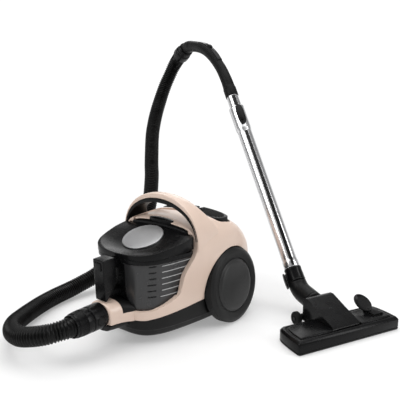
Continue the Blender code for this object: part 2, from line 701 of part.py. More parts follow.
def add_inlet():
    face = axis_frame(INLET, (0, 1, 0))
    duct = turned([(20.3, 0), (24.5, 0), (25.5, 2), (26, 24), (26, 50), (20.3, 50)], 28)
    solid("inlet_collar", moved(duct, face), "rose_gloss")
    back = axis_frame(INLET, (0, -1, 0))
    coupling = turned([(16, -30), (20, -30), (20, -.1), (20, .4), (26, .4), (26.5, 2), (26.5, 33),
                       (25.2, 34.6), (16, 34.6)], 24)
    part = solid("hose_connector", moved(coupling, back), "black_gloss", INLET)
    for name, side in (("left", 1), ("right", -1)):
        at = axis_frame(INLET + Vector((side * 20.0, -RELEASE_BACK, 0)), (side, 0, 0))
        cut(part, cutter("cut_release_" + name, moved(disc(8.4, -2, 20, 16), at)))
        solid("hose_release_" + name, moved(disc(8.0, .3, 6.8, 16, 1.2), at), "black_satin",
              at.translation)
    cuff = turned([(16, 35), (25.4, 35), (26.2, 36), (26.2, 50), (24.8, 51), (24.8, 53),
                   (26, 54), (26, 57), (24.8, 58), (24.8, 60), (25.8, 61), (25.8, 64), (24.4, 68),
                   (22.9, 70), (22.9, 72), (23.6, 73), (23.6, 76), (21.4, 76), (21.4, 54),
                   (16, 52)], 22)
    solid("hose_cuff", moved(cuff, back), "black_satin")


HOSE_ROUTE = [(0, -334, 77), (0, -348, 77), (-1, -364, 76.5), (-7, -378, 75), (-18, -393, 71.5),
              (-42, -407, 65), (-77, -413, 56), (-112, -405, 49.5), (-143, -388, 43),
              (-170, -366, 37), (-192, -340, 31.5), (-223, -291, 24), (-245, -242, 20.8),
              (-258, -190, 20.6), (-260, -143, 23.5), (-253, -103, 33), (-246, -72, 43),
              (-240, -20, 65), (-240, 40, 102), (-242, 88, 140), (-250, 130, 181),
              (-290, 185, 243), (-318, 215, 278), (-347, 248, 316), (-364, 268, 340),
              (-380, 290, 366), (-397, 322, 406), (-405, 352, 450), (-404, 374, 491),
              (-397, 388, 522), (-388, 394, 545), (-374, 394.4, 563), (-356, 387.8, 576.7),
              (-341.5, 381.7, 584.6)]


def add_hose():
    route = resampled(smooth_curve(HOSE_ROUTE, 8), 40)
    curve = bpy.data.curves.new("hose", "CURVE")
    curve.dimensions = "3D"
    curve.bevel_depth = HOSE_DIAMETER / 2 * MM
    curve.bevel_resolution = 3
    curve.use_fill_caps = True
    line = curve.splines.new("POLY")
    line.points.add(len(route) - 1)
    for point, at in zip(line.points, route):
        point.co = (*((at + SHIFT) * MM), 1)
    ob = bpy.data.objects.new("hose", curve)
    bpy.data.collections["canister_vacuum"].objects.link(ob)
    curve.materials.append(finish_material("hose", "rubber"))


# ---------------------------------------------------------------- grip and wand

WAND_TURN = math.radians(20)            # the lock sits a little to the head's -X side of the top
WAND_UP = -WAND_AXIS.cross(HEAD_X) * math.cos(WAND_TURN) - HEAD_X * math.sin(WAND_TURN)
WAND = axis_frame(WAND_START, WAND_AXIS, WAND_UP)       # Z up the wand, Y toward the lock


GRIP_END = Vector((-316, 371, 598.5))
HOSE_OUT = Vector((-56, 23.5, -30.5)).normalized()
GRIP_COLLAR = 17.8                      # radius of the grip's sleeve round the inner tube


def add_wand():
    along = [WAND_START + WAND_AXIS * d for d in (474, 502)]
    bend = [(-104, 280.5, 519), (-132, 292.5, 549), (-172, 309, 578), (-213, 326, 596),
            (-262, 348, 604)]
    spine = smooth_curve([along[1]] + [Vector(p) for p in bend] + [GRIP_END - HOSE_OUT * 12], 2)
    path = [along[0]] + spine + [GRIP_END]
    count = len(path) - 4
    radii = [GRIP_COLLAR, GRIP_COLLAR]
    radii += [15.6 - 1.6 * math.sin(math.pi * k / count) for k in range(count)]
    radii += [16.6, 16.6]
    grip = solid("grip", swept(path, radii, 16, bore=1.4), "black_satin", GRIP_END)
    end = axis_frame(GRIP_END, HOSE_OUT)
    ring = turned([(14, .4), (19, .4), (21, 3), (21, 14), (19.5, 17), (22.4, 21), (23.2, 25),
                   (23.6, 44), (21.5, 44), (21.5, 30), (14, 28)], 22)
    solid("grip_swivel", moved(ring, end), "black_gloss", GRIP_END)
    air = axis_frame(Vector((-196, 319.2, 589.6)), (-.90, .39, .28), (0, 0, 1))
    cut(grip, cutter("cut_air_slot", moved(block(-5.3, 5.3, 5, 30, -15.3, 15.3), air)))
    solid("air_slider", moved(block(-5, 5, 12.6, 21, -15, 3, 1.5), air), "black_gloss", air.translation)

    solid("inner_tube", moved(pipe(TUBE_INNER, TUBE_INNER - 1, 90, 492, 28), WAND), "chrome",
          WAND_START + WAND_AXIS * 440)
    t = TUBE_OUTER
    skin = [(t - 1.2, .5), (t + .9, .5), (t + .9, 9), (t, 14), (t, 370), (t + 1.8, 377),
            (t + 1.8, 440), (t - 1.2, 440)]
    solid("outer_tube", moved(turned(skin, 28), WAND), "chrome", WAND_START + WAND_AXIS * 440)
    strip = block(-4, 4, t + .3, t + 1.5, 18, 364, 0)
    solid("track_strip", moved(strip, WAND), "black_satin", WAND_START + WAND_AXIS * 370)
    saddle = block(-9.5, 9.5, t + 2.1, t + 9.5, 384, 437, 2.5)
    solid("lock_saddle", moved(saddle, WAND), "black_satin", WAND_START + WAND_AXIS * 410)
    slide = block(-6, 6, t + 9.8, t + 13.5, 392, 418, 1.4)
    solid("lock_slider", moved(slide, WAND), "black_gloss", WAND_START + WAND_AXIS * 405)


# ---------------------------------------------------------------- floor head

HEAD_Y = Vector((-HEAD_X.y, HEAD_X.x, 0))
HEAD = Matrix(((HEAD_X.x, HEAD_Y.x, 0, HEAD_ORIGIN.x), (HEAD_X.y, HEAD_Y.y, 0, HEAD_ORIGIN.y),
               (0, 0, 1, 0), (0, 0, 0, 1)))


def head_point(x, y, z):
    return HEAD @ Vector((x, y, z))


def in_head(mesh, frame=None):
    return moved(moved(mesh, frame) if frame else mesh, HEAD)


def add_head():
    half, deep = HEAD_LENGTH / 2, HEAD_DEPTH
    plan = [(-half, 4), (-half + 4, 0), (half - 4, 0), (half, 4), (half, 34), (half - 3, 62),
            (half - 7, deep - 6), (half - 14, deep), (-half + 14, deep),
            (-half + 6, deep - 4), (-half + 2, 70), (-half, 34)]

    def ring(inset, z):
        return [(x * (1 - inset / half), deep / 2 + (y - deep / 2) * (1 - 2 * inset / deep), z)
                for x, y in plan]
    cover = solid("head_cover", in_head(loft([ring(0, 5.3), ring(0, 24.0), ring(3.2, 28.0),
                                              ring(12, 30.5)])), "black_gloss",
                  head_point(0, 58, 25))
    cut(cover, cutter("cut_head_inside", in_head(block(-124, 124, 6, 77, 0, 25))))
    cut(cover, cutter("cut_neck_room", in_head(block(-38.3, 38.3, 12, 130, 10, 60))))
    sole = solid("sole_plate", in_head(loft([ring(1.2, .4), ring(0, 2), ring(0, 5.0)])),
                 "black_satin", head_point(0, 42, 5))
    cut(sole, cutter("cut_suction_slot", in_head(block(-115, 115, 30, 44, -5, 20))))
    for name, y in (("front", 17.0), ("rear", 65.0)):
        slot = block(-122.3, 122.3, y - 3.3, y + 3.3, -5, 20)
        cut(sole, cutter("cut_brush_slot_" + name, in_head(slot)))
        solid("brush_strip_" + name, in_head(block(-122, 122, y - 3, y + 3, .3, 7.5)), "bristle",
              head_point(0, y, 6))

    # neck wedge, hinged on the head, carrying the swivel elbow and two rear rollers
    side = [(16, 30.8), (21, 26), (40, 14), (60, 12), (100, 16), (121, 22), (121, 61), (116, 64),
            (106, 64.5), (62, 48), (20, 34)]
    neck = solid("neck_wedge", in_head(prism_x(side, -36, 36)), "black_gloss", head_point(0, 60, 20.5))
    duct_axis = axis_frame((0, 48, 30), (0, 1, .17))
    hanger = cutter("join_roller_hanger", in_head(block(-36, 36, 108, 129, 10, 21.5)))
    cut(neck, hanger, "UNION")
    for name, s in (("left", 1), ("right", -1)):
        at = axis_frame((s * 50, 124, 15.5), (s, 0, 0))
        stub = cutter("join_stub_" + name, in_head(disc(4.0, -24, 7, 12), at))
        cut(neck, stub, "UNION")
        roller = turned([(4.3, -6.5), (12, -6.5), (15.5, -4), (15.5, 4), (12, 6.5), (4.3, 6.5)], 18)
        solid("neck_roller_" + name, in_head(roller, at), "rubber", HEAD @ at.translation)
    cut(neck, cutter("cut_neck_duct", in_head(disc(17.3, 26, 100, 28), duct_axis)))
    # elbow from the wedge's duct round to the wand
    rel = Vector((0, WAND_AXIS.dot(HEAD_Y), WAND_AXIS.z))
    foot = Vector((0, 213.9, 96))
    start = duct_axis.translation
    along = Vector((0, 1, .17)).normalized()
    nose = [start + along * d for d in (50, 79, 80, 90)]
    bend = [Vector((0, y, z)) for y, z in ((163.8, 49.7), (172.2, 52.0), (179.8, 55.6), (186.5, 60.6),
                                           (192.3, 67.1))] + [foot + rel * -33]
    radii = [16.9, 16.9, 21.5, 22.5, 22.5, 22.5, 22.3, 22.0, 21.5, 21.0]
    solid("elbow", in_head(swept(nose + bend, radii, 16, bore=2.4)), "black_satin",
          HEAD @ (start + along * 79))
    cuff = [(14, -32.5), (20.6, -32.5), (21.2, -30), (19.6, -2), (19.2, 0), (16.4, .2), (16.0, 24),
            (14, 24)]
    solid("neck_cuff", moved(turned(cuff, 28), WAND), "black_gloss", WAND_START)
    clip = moved(block(24.4, 28.6, -6.5, 6.5, -45, -8, 1.5), WAND)
    solid("wand_release_clip", clip, "black_gloss", WAND_START + WAND_AXIS * -17)

    # rocker pedal that lowers the brushes: a foot with a raised oval pad
    cut(cover, cutter("cut_rocker_room", in_head(block(84, 114, 26, 64, 26.5, 50))))
    foot_plate = block(86, 112, 28, 62, 30.9, 34.5, 1.0)
    pedal = solid("floor_pedal", in_head(foot_plate), "black_gloss", head_point(90, 46, 32))
    cut(pedal, cutter("join_pedal_stem", in_head(block(86.5, 97, 47, 60, 33, 40))), "UNION")
    pad = axis_frame((85, 64, 47.5), (-.25, -.52, .82), (-.3, .82, .5))
    oval_pad = loft([[(x, y, z) for x, y in oval(0, 0, a, b, 20)] for z, a, b in
                     ((-2, 15, 21), (0, 16, 22), (2, 14.5, 20.5))])
    cut(pedal, cutter("join_pedal_pad", in_head(oval_pad, pad)), "UNION")


def build():
    clear_scene()
    for name in ("canister_vacuum", "cutters"):
        col = bpy.data.collections.new(name)
        bpy.context.scene.collection.children.link(col)
    bpy.data.collections["cutters"].hide_render = True
    add_canister()
    add_wheels()
    add_caster()
    add_container()
    add_inlet()
    add_hose()
    add_wand()
    add_head()


build()
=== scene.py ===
"""Looks of the canister vacuum cleaner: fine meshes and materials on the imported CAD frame.

Shapes are worked out in millimetres about the middle of the wheel axle (+X the canister's
left, -Y its front, Z up from the floor) and written in metres in the row frame.
"""
import bpy
import bmesh
import json
from math import copysign, cos, hypot, pi, radians, sin
from mathutils import Matrix, Vector

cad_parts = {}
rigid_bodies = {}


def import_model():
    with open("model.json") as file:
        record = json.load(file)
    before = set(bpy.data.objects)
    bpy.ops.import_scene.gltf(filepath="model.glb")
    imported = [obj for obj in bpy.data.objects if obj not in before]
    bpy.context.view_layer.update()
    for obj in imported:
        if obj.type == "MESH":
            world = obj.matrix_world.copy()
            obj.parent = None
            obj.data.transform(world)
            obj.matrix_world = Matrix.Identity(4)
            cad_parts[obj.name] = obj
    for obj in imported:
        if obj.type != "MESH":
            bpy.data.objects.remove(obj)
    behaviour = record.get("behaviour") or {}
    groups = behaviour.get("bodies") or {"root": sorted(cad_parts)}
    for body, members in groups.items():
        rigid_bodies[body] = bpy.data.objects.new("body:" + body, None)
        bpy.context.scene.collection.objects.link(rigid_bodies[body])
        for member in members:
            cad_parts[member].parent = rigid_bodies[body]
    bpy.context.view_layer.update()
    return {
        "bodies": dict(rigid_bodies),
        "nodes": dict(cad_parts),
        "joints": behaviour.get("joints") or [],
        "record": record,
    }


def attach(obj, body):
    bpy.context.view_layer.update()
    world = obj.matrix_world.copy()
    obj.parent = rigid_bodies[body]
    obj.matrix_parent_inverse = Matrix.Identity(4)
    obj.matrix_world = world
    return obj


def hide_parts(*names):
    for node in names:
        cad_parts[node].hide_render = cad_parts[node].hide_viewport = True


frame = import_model()

MM = .001
SHIFT = Vector((-34.8, -32, 0))     # canister frame to row frame, mm
GAP = .3

# canister body
BODY_HALF_PLAN = [(0, -237), (38, -235), (64, -225), (82, -204), (94, -175), (102, -143), (109, -105),
    (115, -65), (118, -20), (117, 25), (112, 65), (102, 95), (82, 115), (50, 126), (0, 130)]
BODY_WAIST = -40
BODY_LEVELS = [                         # height, width scale, front scale, rear scale
    (18, .84, .885, .8), (21, .885, .91, .85), (30, .92, .93, .9), (44, .945, .95, .94),
    (60, .96, .962, .97), (80, .975, .972, .99), (105, .99, .982, 1), (135, 1, .99, 1),
    (160, 1, 1, .955), (180, .98, 1, .88), (198, .955, 1, .78), (212, .91, 1, .67),
    (224, .82, .96, .55), (234, .66, .84, .41), (240, .4, .55, .24), (241.5, .18, .25, .1)]
SPLIT_FRONT = [(-320, 57), (-223, 58.5), (-204, 61), (-168, 65.5), (-120, 70.5), (-86, 74.5), (-50, 77)]
SPLIT_REAR = [(-48, 112), (72, 112), (74, 80), (180, 78)]
BAND_CURVE = [(-320, 78), (-217, 79), (-192, 84), (-166, 94), (-148, 104), (-140, 124), (-133, 145),
    (-119, 163), (-105, 177), (-97.5, 192), (-97, 205)]
BAND_TOP = [(-97, 420), (-320, 420)]
CAVITY_HALF_WIDTH = 89

# dust container
CUP_HALF_PLAN = [(0, -229), (36, -227), (60, -218), (77, -198), (87, -171), (93, -142), (97, -118),
    (97, -101)]
CUP_CENTRE = (0, -150)
CUP_BOTTOM, CUP_TOP, CUP_WALL = 66, 187, 2.6
BADGE_CENTRE, BADGE_RADIUS, BADGE_TILT = (0, -150.5, 211), 45, radians(18.3)

# wheels
WHEEL_RADIUS, WHEEL_WIDTH, CAMBER = 85, 27, radians(6)
WHEEL_CENTRE = (118, 8, 84.55)
CASTER_XY, CASTER_RADIUS = (0, -158), 15
GLAND = (48, 0, 56)                      # axis of the cord's outlet
REARWARD = (0, 1, 0)

# hose, inlet and wand
INLET = Vector((0, -278, 77))
RELEASE_BACK = 20                      # release buttons, out from the inlet
HOSE_DIAMETER = 40
WAND_START = Vector((187, 157, 96))
WAND_AXIS = Vector((-.5513, .2353, .8004)).normalized()
TUBE_OUTER, TUBE_INNER = 18, 15.6
GRIP_END = Vector((-316, 371, 598.5))
HOSE_OUT = Vector((-56, 23.5, -30.5)).normalized()

# floor head: origin under the middle of its front edge
HEAD_ORIGIN = Vector((383.5, 72.5, 0))
HEAD_X = Vector((.3926, .9197, 0)).normalized()
HEAD_Y = Vector((-HEAD_X.y, HEAD_X.x, 0))
HEAD_LENGTH, HEAD_DEPTH = 270, 84

# how far in each step of a domed plate is drawn
DOME = [1, .985, .96, .92, .86, .78, .69, .59, .48, .36, .24, .12]


# ---- closed meshes, in mm

def moved(mesh, frame):
    return [frame @ Vector(p) for p in mesh[0]], mesh[1]


def joined(*meshes):
    points, faces = [], []
    for more, corners in meshes:
        faces += [tuple(len(points) + i for i in face) for face in corners]
        points += more
    return points, faces


def band(a, b, count):
    """Faces between two loops of points, which start at a and b."""
    return [(a + i, a + (i + 1) % count, b + (i + 1) % count, b + i) for i in range(count)]


def loft(rings, caps=True):
    """Skins a stack of equal loops, closing both ends with one face each."""
    count = len(rings[0])
    last = count * (len(rings) - 1)
    faces = [face for a in range(0, last, count) for face in band(a, a + count, count)]
    if caps:
        faces += [tuple(range(count)), tuple(range(last, last + count))]
    return [Vector(p) for ring in rings for p in ring], faces


def layers(rows):
    """A skin through plans of (x, y), each at its own height."""
    return loft([[(x, y, z) for x, y in plan] for plan, z in rows])


def column(plan, *heights):
    """A plan of (x, y) drawn up through the heights."""
    return layers((plan, z) for z in heights)


def block(x0, x1, y0, y1, z0, z1):
    return column([(x0, y0), (x1, y0), (x1, y1), (x0, y1)], z0, z1)


def prism_x(profile, x0, x1):
    """A (y, z) outline drawn out along X."""
    return loft([[(x, y, z) for y, z in profile] for x in (x0, x1)])


def turned(profile, segments=96):
    """Turns a profile of (radius, height) about Z; radius 0 closes at a pole."""
    points, rings = [], []
    for radius, height in profile:
        rings.append(range(len(points), len(points) + (segments if radius else 1)))
        points += [Vector((radius * cos(2 * pi * i / segments), radius * sin(2 * pi * i / segments),
            height)) for i in range(len(rings[-1]))]
    pairs = list(zip(rings, rings[1:]))
    if len(rings[0]) > 1 or len(rings[-1]) > 1:
        pairs.append((rings[-1], rings[0]))
    faces = []
    for a, b in pairs:
        if len(a) == len(b):
            faces += band(a[0], b[0], segments)
        else:
            ring, pole = (b, a[0]) if len(a) == 1 else (a, b[0])
            faces += [(ring[i], ring[(i + 1) % segments], pole) for i in range(segments)]
    return points, faces


def rounded(profile, radius=1, steps=3):
    """A (radius, height) outline with its inner corners rounded by a small arc."""
    out = [profile[0]]
    for p, q, r in zip(profile, profile[1:], profile[2:]):
        a, b, c = Vector(p), Vector(q), Vector(r)
        u, v = a - b, c - b
        reach = min(radius, u.length * .45, v.length * .45)
        if reach < .05 or abs(u.angle(v, pi) - pi) < .12 or b.x < 1e-6:
            out.append(q)
            continue
        s, e = b + u.normalized() * reach, b + v.normalized() * reach
        for t in [k / steps for k in range(steps + 1)]:
            out.append(tuple(s.lerp(b, t).lerp(b.lerp(e, t), t)))
    return out + [profile[-1]]


def lathe(profile, frame, segments=64, soft=0, steps=3):
    """A turned profile with soft corners, set in a frame."""
    return moved(turned(rounded(profile, soft, steps) if soft else profile, segments), frame)


def disc(radius, z0, z1, frame, segments=96, soft=0):
    return lathe([(0, z0), (radius, z0), (radius, z1), (0, z1)], frame, segments, soft, 4)


def axis_frame(at, direction, side=(0, 0, 1)):
    """A frame whose Z runs along direction and whose Y leans toward side."""
    z = Vector(direction).normalized()
    x = Vector(side).cross(z)
    x = (x if x.length > 1e-5 else Vector((1, 0, 0)).cross(z)).normalized()
    return Matrix.Translation(at) @ Matrix((x, z.cross(x), z)).transposed().to_4x4()


def swept(path, radii, segments, bore=0):
    """Sweeps a round section along a path; bore gives the wall's thickness."""
    path = [Vector(p) for p in path]
    outer, inner = [], []
    tangent = (path[1] - path[0]).normalized()
    side = tangent.orthogonal().normalized()
    for k, (at, r) in enumerate(zip(path, radii)):
        ahead = (path[min(k + 1, len(path) - 1)] - path[max(k - 1, 0)]).normalized()
        side = tangent.rotation_difference(ahead) @ side
        side = (side - ahead * side.dot(ahead)).normalized()
        tangent, up = ahead, ahead.cross(side)
        spokes = [side * cos(2 * pi * i / segments) + up * sin(2 * pi * i / segments)
            for i in range(segments)]
        outer.append([at + s * r for s in spokes])
        inner.append([at + s * (r - bore) for s in spokes])
    if not bore:
        return loft(outer)
    points, faces = loft(outer + inner[::-1], False)
    return points, faces + band(len(points) - segments, 0, segments)


def bars(paths, radius, segments=10):
    """Round-ended rods joined into one mesh."""
    out = []
    for path in paths:
        path = [Vector(p) for p in path]
        a, b = (path[0] - path[1]).normalized(), (path[-1] - path[-2]).normalized()
        line = ([path[0] + a * radius * s for s in (.9, .5)] + path + [path[-1] + b * radius * s
            for s in (.5, .9)])
        radii = [radius * .35, radius * .82] + [radius] * len(path) + [radius * .82, radius * .35]
        out.append(swept(line, radii, segments))
    return joined(*out)


def slab(outline, top, bottom, centre, shrink=DOME):
    """A plate of any plan; top and bottom are heights or functions of (x, y)."""
    count = len(outline)
    cx, cy = centre
    points, rows = [], []

    def at(x, y, s, height):
        x, y = cx + (x - cx) * s, cy + (y - cy) * s
        return Vector((x, y, height(x, y) if callable(height) else height))

    for height, order in ((bottom, shrink[::-1]), (top, shrink)):
        for s in order:
            rows.append(len(points))
            points += [at(x, y, s, height) for x, y in outline]
    faces = [face for a, b in zip(rows, rows[1:]) for face in band(a, b, count)]
    for row, height in ((rows[0], bottom), (rows[-1], top)):
        faces += [(len(points), row + i, row + (i + 1) % count) for i in range(count)]
        points.append(at(cx, cy, 1, height))
    return points, faces


def crown(top, across, along, centre):
    """Height function of a crowned face, highest at y = centre."""
    return lambda x, y: top - across * x * x - along * (y - centre) ** 2


def smooth_curve(points, steps, closed=False):
    """Catmull-Rom samples through the points, of any dimension."""
    pts = [Vector(p) for p in points]
    n = len(pts)
    out = []
    for i in range(n if closed else n - 1):
        near = [i + k if not closed else (i + k) % n for k in (-1, 0, 1, 2)]
        p0, p1, p2, p3 = (pts[max(0, min(n - 1, k))] for k in near)
        for t in [s / steps for s in range(steps)]:
            out.append(.5 * ((2 * p1) + (p2 - p0) * t + (2 * p0 - 5 * p1 + 4 * p2 - p3) * t * t
                + (3 * p1 - p0 - 3 * p2 + p3) * t ** 3))
    return out if closed else out + [pts[-1]]


def smooth_plan(points, steps=4, closed=True):
    return [tuple(p) for p in smooth_curve(points, steps, closed)]


def resampled(points, count):
    """Equal steps along a polyline."""
    run = [0]
    for a, b in zip(points, points[1:]):
        run.append(run[-1] + (b - a).length)
    out, k = [], 0
    for i in range(count):
        want = run[-1] * i / (count - 1)
        while k < len(points) - 2 and run[k + 1] < want:
            k += 1
        span = run[k + 1] - run[k]
        out.append(points[k].lerp(points[k + 1], (want - run[k]) / span if span else 0))
    return out


def even(outline, count):
    """The same closed outline with equal steps."""
    return [tuple(p) for p in resampled([Vector(p) for p in outline + outline[:1]], count + 1)[:-1]]


def both_sides(half):
    """A half plan with its +X side repeated on -X."""
    return half + [(-x, y) for x, y in reversed(half) if x > 0]


def signed_power(value, power):
    return copysign(abs(value) ** power, value)


def oval(cx, cy, a, b, count=64, power=2):
    turns = [2 * pi * i / count for i in range(count)]
    return [(cx + a * signed_power(cos(t), 2 / power), cy + b * signed_power(sin(t), 2 / power))
        for t in turns]


# ---- objects

def add_object(name, data):
    ob = bpy.data.objects.new(name, data)
    bpy.context.scene.collection.objects.link(ob)
    return ob


def mesh_object(name, mesh):
    points, faces = mesh
    bm = bmesh.new()
    verts = [bm.verts.new((Vector(p) + SHIFT) * MM) for p in points]
    for face in faces:
        bm.faces.new([verts[i] for i in face])
    bmesh.ops.recalc_face_normals(bm, faces=bm.faces)
    data = bpy.data.meshes.new(name)
    bm.to_mesh(data)
    bm.free()
    return add_object(name, data)


def apply_all(ob):
    """Turns the modifiers into plain mesh."""
    graph = bpy.context.evaluated_depsgraph_get()
    data = bpy.data.meshes.new_from_object(ob.evaluated_get(graph), depsgraph=graph)
    ob.modifiers.clear()
    ob.data = data


CUT, JOIN = "DIFFERENCE", "UNION"
REPLACED = set()


def cuts(*meshes):
    return [(mesh, CUT) for mesh in meshes]


def carve(ob, steps):
    """Applies (mesh, operation) Booleans in turn."""
    tools = []
    for k, (mesh, operation) in enumerate(steps):
        tool = mesh_object(f"tool_{k}", mesh)
        mod = ob.modifiers.new(tool.name, "BOOLEAN")
        mod.operation, mod.solver, mod.object = operation, "EXACT", tool
        tools.append(tool)
    apply_all(ob)
    for tool in tools:
        bpy.data.objects.remove(tool, do_unlink=True)
    bm = bmesh.new()
    bm.from_mesh(ob.data)
    bmesh.ops.remove_doubles(bm, verts=bm.verts, dist=2e-6)
    bmesh.ops.dissolve_degenerate(bm, edges=bm.edges, dist=1e-6)
    bm.to_mesh(ob.data)
    bm.free()


def piece(name, mesh, material, body, *nodes, bevel=0, segments=2, angle=35, steps=()):
    """One finished piece on its CAD body; the first one of a node replaces the node."""
    ob = mesh_object(name, mesh)
    if steps:
        carve(ob, steps)
    if bevel:
        mod = ob.modifiers.new("bevel", "BEVEL")
        mod.width, mod.segments, mod.limit_method = bevel * MM, segments, "ANGLE"
        mod.angle_limit = radians(angle)
        apply_all(ob)
    ob.data.polygons.foreach_set("use_smooth", [True] * len(ob.data.polygons))
    ob.data.set_sharp_from_angle(angle=radians(angle))
    ob.data.materials.append(material)
    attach(ob, body)
    if nodes[0] not in REPLACED:
        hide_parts(*nodes)
        REPLACED.update(nodes)
    return ob


# ---- materials

def add_node(tree, kind, inputs, **settings):
    """A new node; each of its inputs takes a constant or the output that feeds it."""
    node = tree.nodes.new("ShaderNode" + kind)
    for key, value in settings.items():
        setattr(node, key, value)
    for socket, value in inputs.items():
        if isinstance(value, bpy.types.NodeSocket):
            tree.links.new(value, node.inputs[socket])
        else:
            node.inputs[socket].default_value = value
    return node


def spread(tree, value, low, high, start=.3, stop=.7, **settings):
    """Maps start to stop onto low to high."""
    return add_node(tree, "MapRange", {"Value": value, "From Min": start, "From Max": stop, "To Min": low,
        "To Max": high}, **settings).outputs[0]


def finish(name, colour, roughness, metallic=0, specular=.5, coat=0, mottle=.05, smudge=.06,
        grain=(1500, .1), brushed=None, soften=.8, edge=0, transmission=0):
    """A procedural surface: slow colour drift, smudged roughness, moulded or brushed grain."""
    colour = colour if isinstance(colour, tuple) else (colour,) * 3
    mat = bpy.data.materials.new(name)
    mat.use_nodes = True
    tree = mat.node_tree
    shader = tree.nodes["Principled BSDF"].inputs
    for socket, value in (("Metallic", metallic), ("Specular IOR Level", specular), ("Coat Weight", coat),
            ("Coat Roughness", .08), ("Transmission Weight", transmission)):
        shader[socket].default_value = value

    def noise(at, scale, detail):
        return add_node(tree, "TexNoise", {"Vector": at, "Scale": scale, "Detail": detail}).outputs[0]

    def mix(factor, a, b):
        return add_node(tree, "Mix", {"Factor": factor, 6: a, 7: b}, data_type="RGBA").outputs[2]

    where = streaks = add_node(tree, "TexCoord", {}).outputs["Object"]
    if brushed:
        turn = add_node(tree, "Mapping", {"Vector": where, "Rotation": brushed[0]})
        streaks = add_node(tree, "Mapping", {"Vector": turn.outputs[0], "Scale": brushed[1]}).outputs[0]
    tint = mix(spread(tree, noise(where, 22, 3), 0, 1), (*[c * (1 - mottle) for c in colour], 1),
        (*[min(1, c * (1 + mottle)) for c in colour], 1))
    if edge:
        wear = spread(tree, add_node(tree, "NewGeometry", {}).outputs["Pointiness"], 0, .8, .53, .62)
        tint = mix(wear, tint, (*[c + edge for c in colour], 1))
    soft = add_node(tree, "Bevel", {"Radius": soften * MM}, samples=4).outputs[0]
    bump = add_node(tree, "Bump", {"Strength": grain[1], "Distance": .0002, "Normal": soft,
        "Height": noise(streaks, grain[0], 3)}).outputs[0]
    low = max(.02, roughness - smudge)
    rough = spread(tree, noise(streaks, 1 if brushed else 40, 4), low, roughness + smudge)
    for socket, value in (("Base Color", tint), ("Roughness", rough), ("Normal", bump)):
        tree.links.new(value, shader[socket])
    return mat


# frames of the wand and the floor head
WAND_TURN = radians(20)
WAND_UP = -WAND_AXIS.cross(HEAD_X) * cos(WAND_TURN) - HEAD_X * sin(WAND_TURN)
WAND = axis_frame(WAND_START, WAND_AXIS, WAND_UP)       # Z up the wand, Y toward the lock
ALONG_WAND = WAND.to_3x3().transposed().to_euler()
HEAD = axis_frame(HEAD_ORIGIN, (0, 0, 1), HEAD_Y)
LAID = Matrix(((1, 0, 0, 0), (0, 0, 1, 0), (0, 1, 0, 0), (0, 0, 0, 1)))     # swaps Y and Z

ROSE = finish("rose_gloss", (.7, .545, .455), .32, specular=.4, coat=.25, mottle=.02, smudge=.04,
    grain=(900, .05), soften=1.6)
GLOSS = finish("black_gloss", (.0035, .0035, .0038), .26, specular=.15, mottle=.1, grain=(700, .05),
    soften=1.4, edge=.004)
SATIN = finish("black_satin", .0055, .4, specular=.17, mottle=.1, grain=(1600, .22), soften=1.2, edge=.006)
BLACK_SOFT = finish("black_soft_touch", .0035, .48, specular=.14, mottle=.08, grain=(2200, .3), soften=1.4,
    edge=.006)
SMOKED = finish("smoked_plastic", (.03, .03, .031), .24, specular=.36, coat=.12, mottle=.06,
    grain=(600, .03), soften=1, transmission=.12)
# painted highlight: light grey on the cup's thin ribs stands in for the gloss catching the light along
# their top edges
RIB_PAINTED_HIGHLIGHT = finish("rib_painted_highlight", .42, .3, specular=.5, coat=.2, mottle=.06, grain=(600, .05), soften=.3)
SILVER = finish("brushed_aluminium", (.44, .44, .445), .46, metallic=1, mottle=.05, smudge=.08,
    grain=(1, .25), brushed=((0, 0, .5), (60, 2600, 2600)), soften=.6)
CHROME = finish("chromed_tube", (.7, .7, .71), .24, metallic=1, mottle=.02, smudge=.04, grain=(1, .05),
    brushed=(ALONG_WAND, (420, 420, 14)), soften=.8)
RUBBER = finish("rubber", .006, .7, specular=.18, mottle=.12, grain=(1400, .35), soften=1.2)
TYRE = finish("wheel_plastic", .01, .44, specular=.22, mottle=.08, grain=(1800, .2), soften=1.5, edge=.005)
WHEEL_DISC = finish("wheel_disc", .026, .38, specular=.25, mottle=.06, grain=(1800, .2), soften=1.5,
    edge=.005)
HOSE_PLASTIC = finish("hose_plastic", .0022, .32, specular=.16, mottle=.15, grain=(900, .08), soften=.5,
    edge=.004)
STEEL = finish("machined_steel", (.52, .52, .54), .32, metallic=1, mottle=.05, smudge=.1, grain=(1, .2),
    brushed=((0, 0, 0), (1800, 40, 1800)))
HOUSING = finish("moulded_housing", (.14, .145, .15), .55, mottle=.06, grain=(1200, .3))
PAPER = finish("filter_paper", (.8, .8, .76), .92, specular=.2, mottle=.07, grain=(2600, .7), soften=.4)
FOAM = finish("filter_foam", (.055, .06, .065), .95, specular=.15, mottle=.25, grain=(700, 1), soften=.4)
COPPER = finish("wound_copper", (.62, .3, .16), .38, metallic=1, mottle=.12, smudge=.12, grain=(1, .9),
    brushed=((0, 0, 0), (60, 1100, 60)))
BRISTLE = finish("bristle", (.055, .055, .058), .8, specular=.25, mottle=.3, grain=(1, .6),
    brushed=((0, 0, 0), (2400, 2400, 60)), soften=.2)


# ---- studio

def add_camera():
    data = bpy.data.cameras.new("camera")
    data.lens, data.sensor_width = 55.8, 36
    camera = add_object("camera", data)
    camera.location = (.8525, -1.0853, .598)
    pitch = radians(13.7)
    look = Vector((-.6293 * cos(pitch), .7771 * cos(pitch), -sin(pitch)))
    camera.rotation_euler = look.to_track_quat("-Z", "Y").to_euler()
    bpy.context.scene.camera = camera


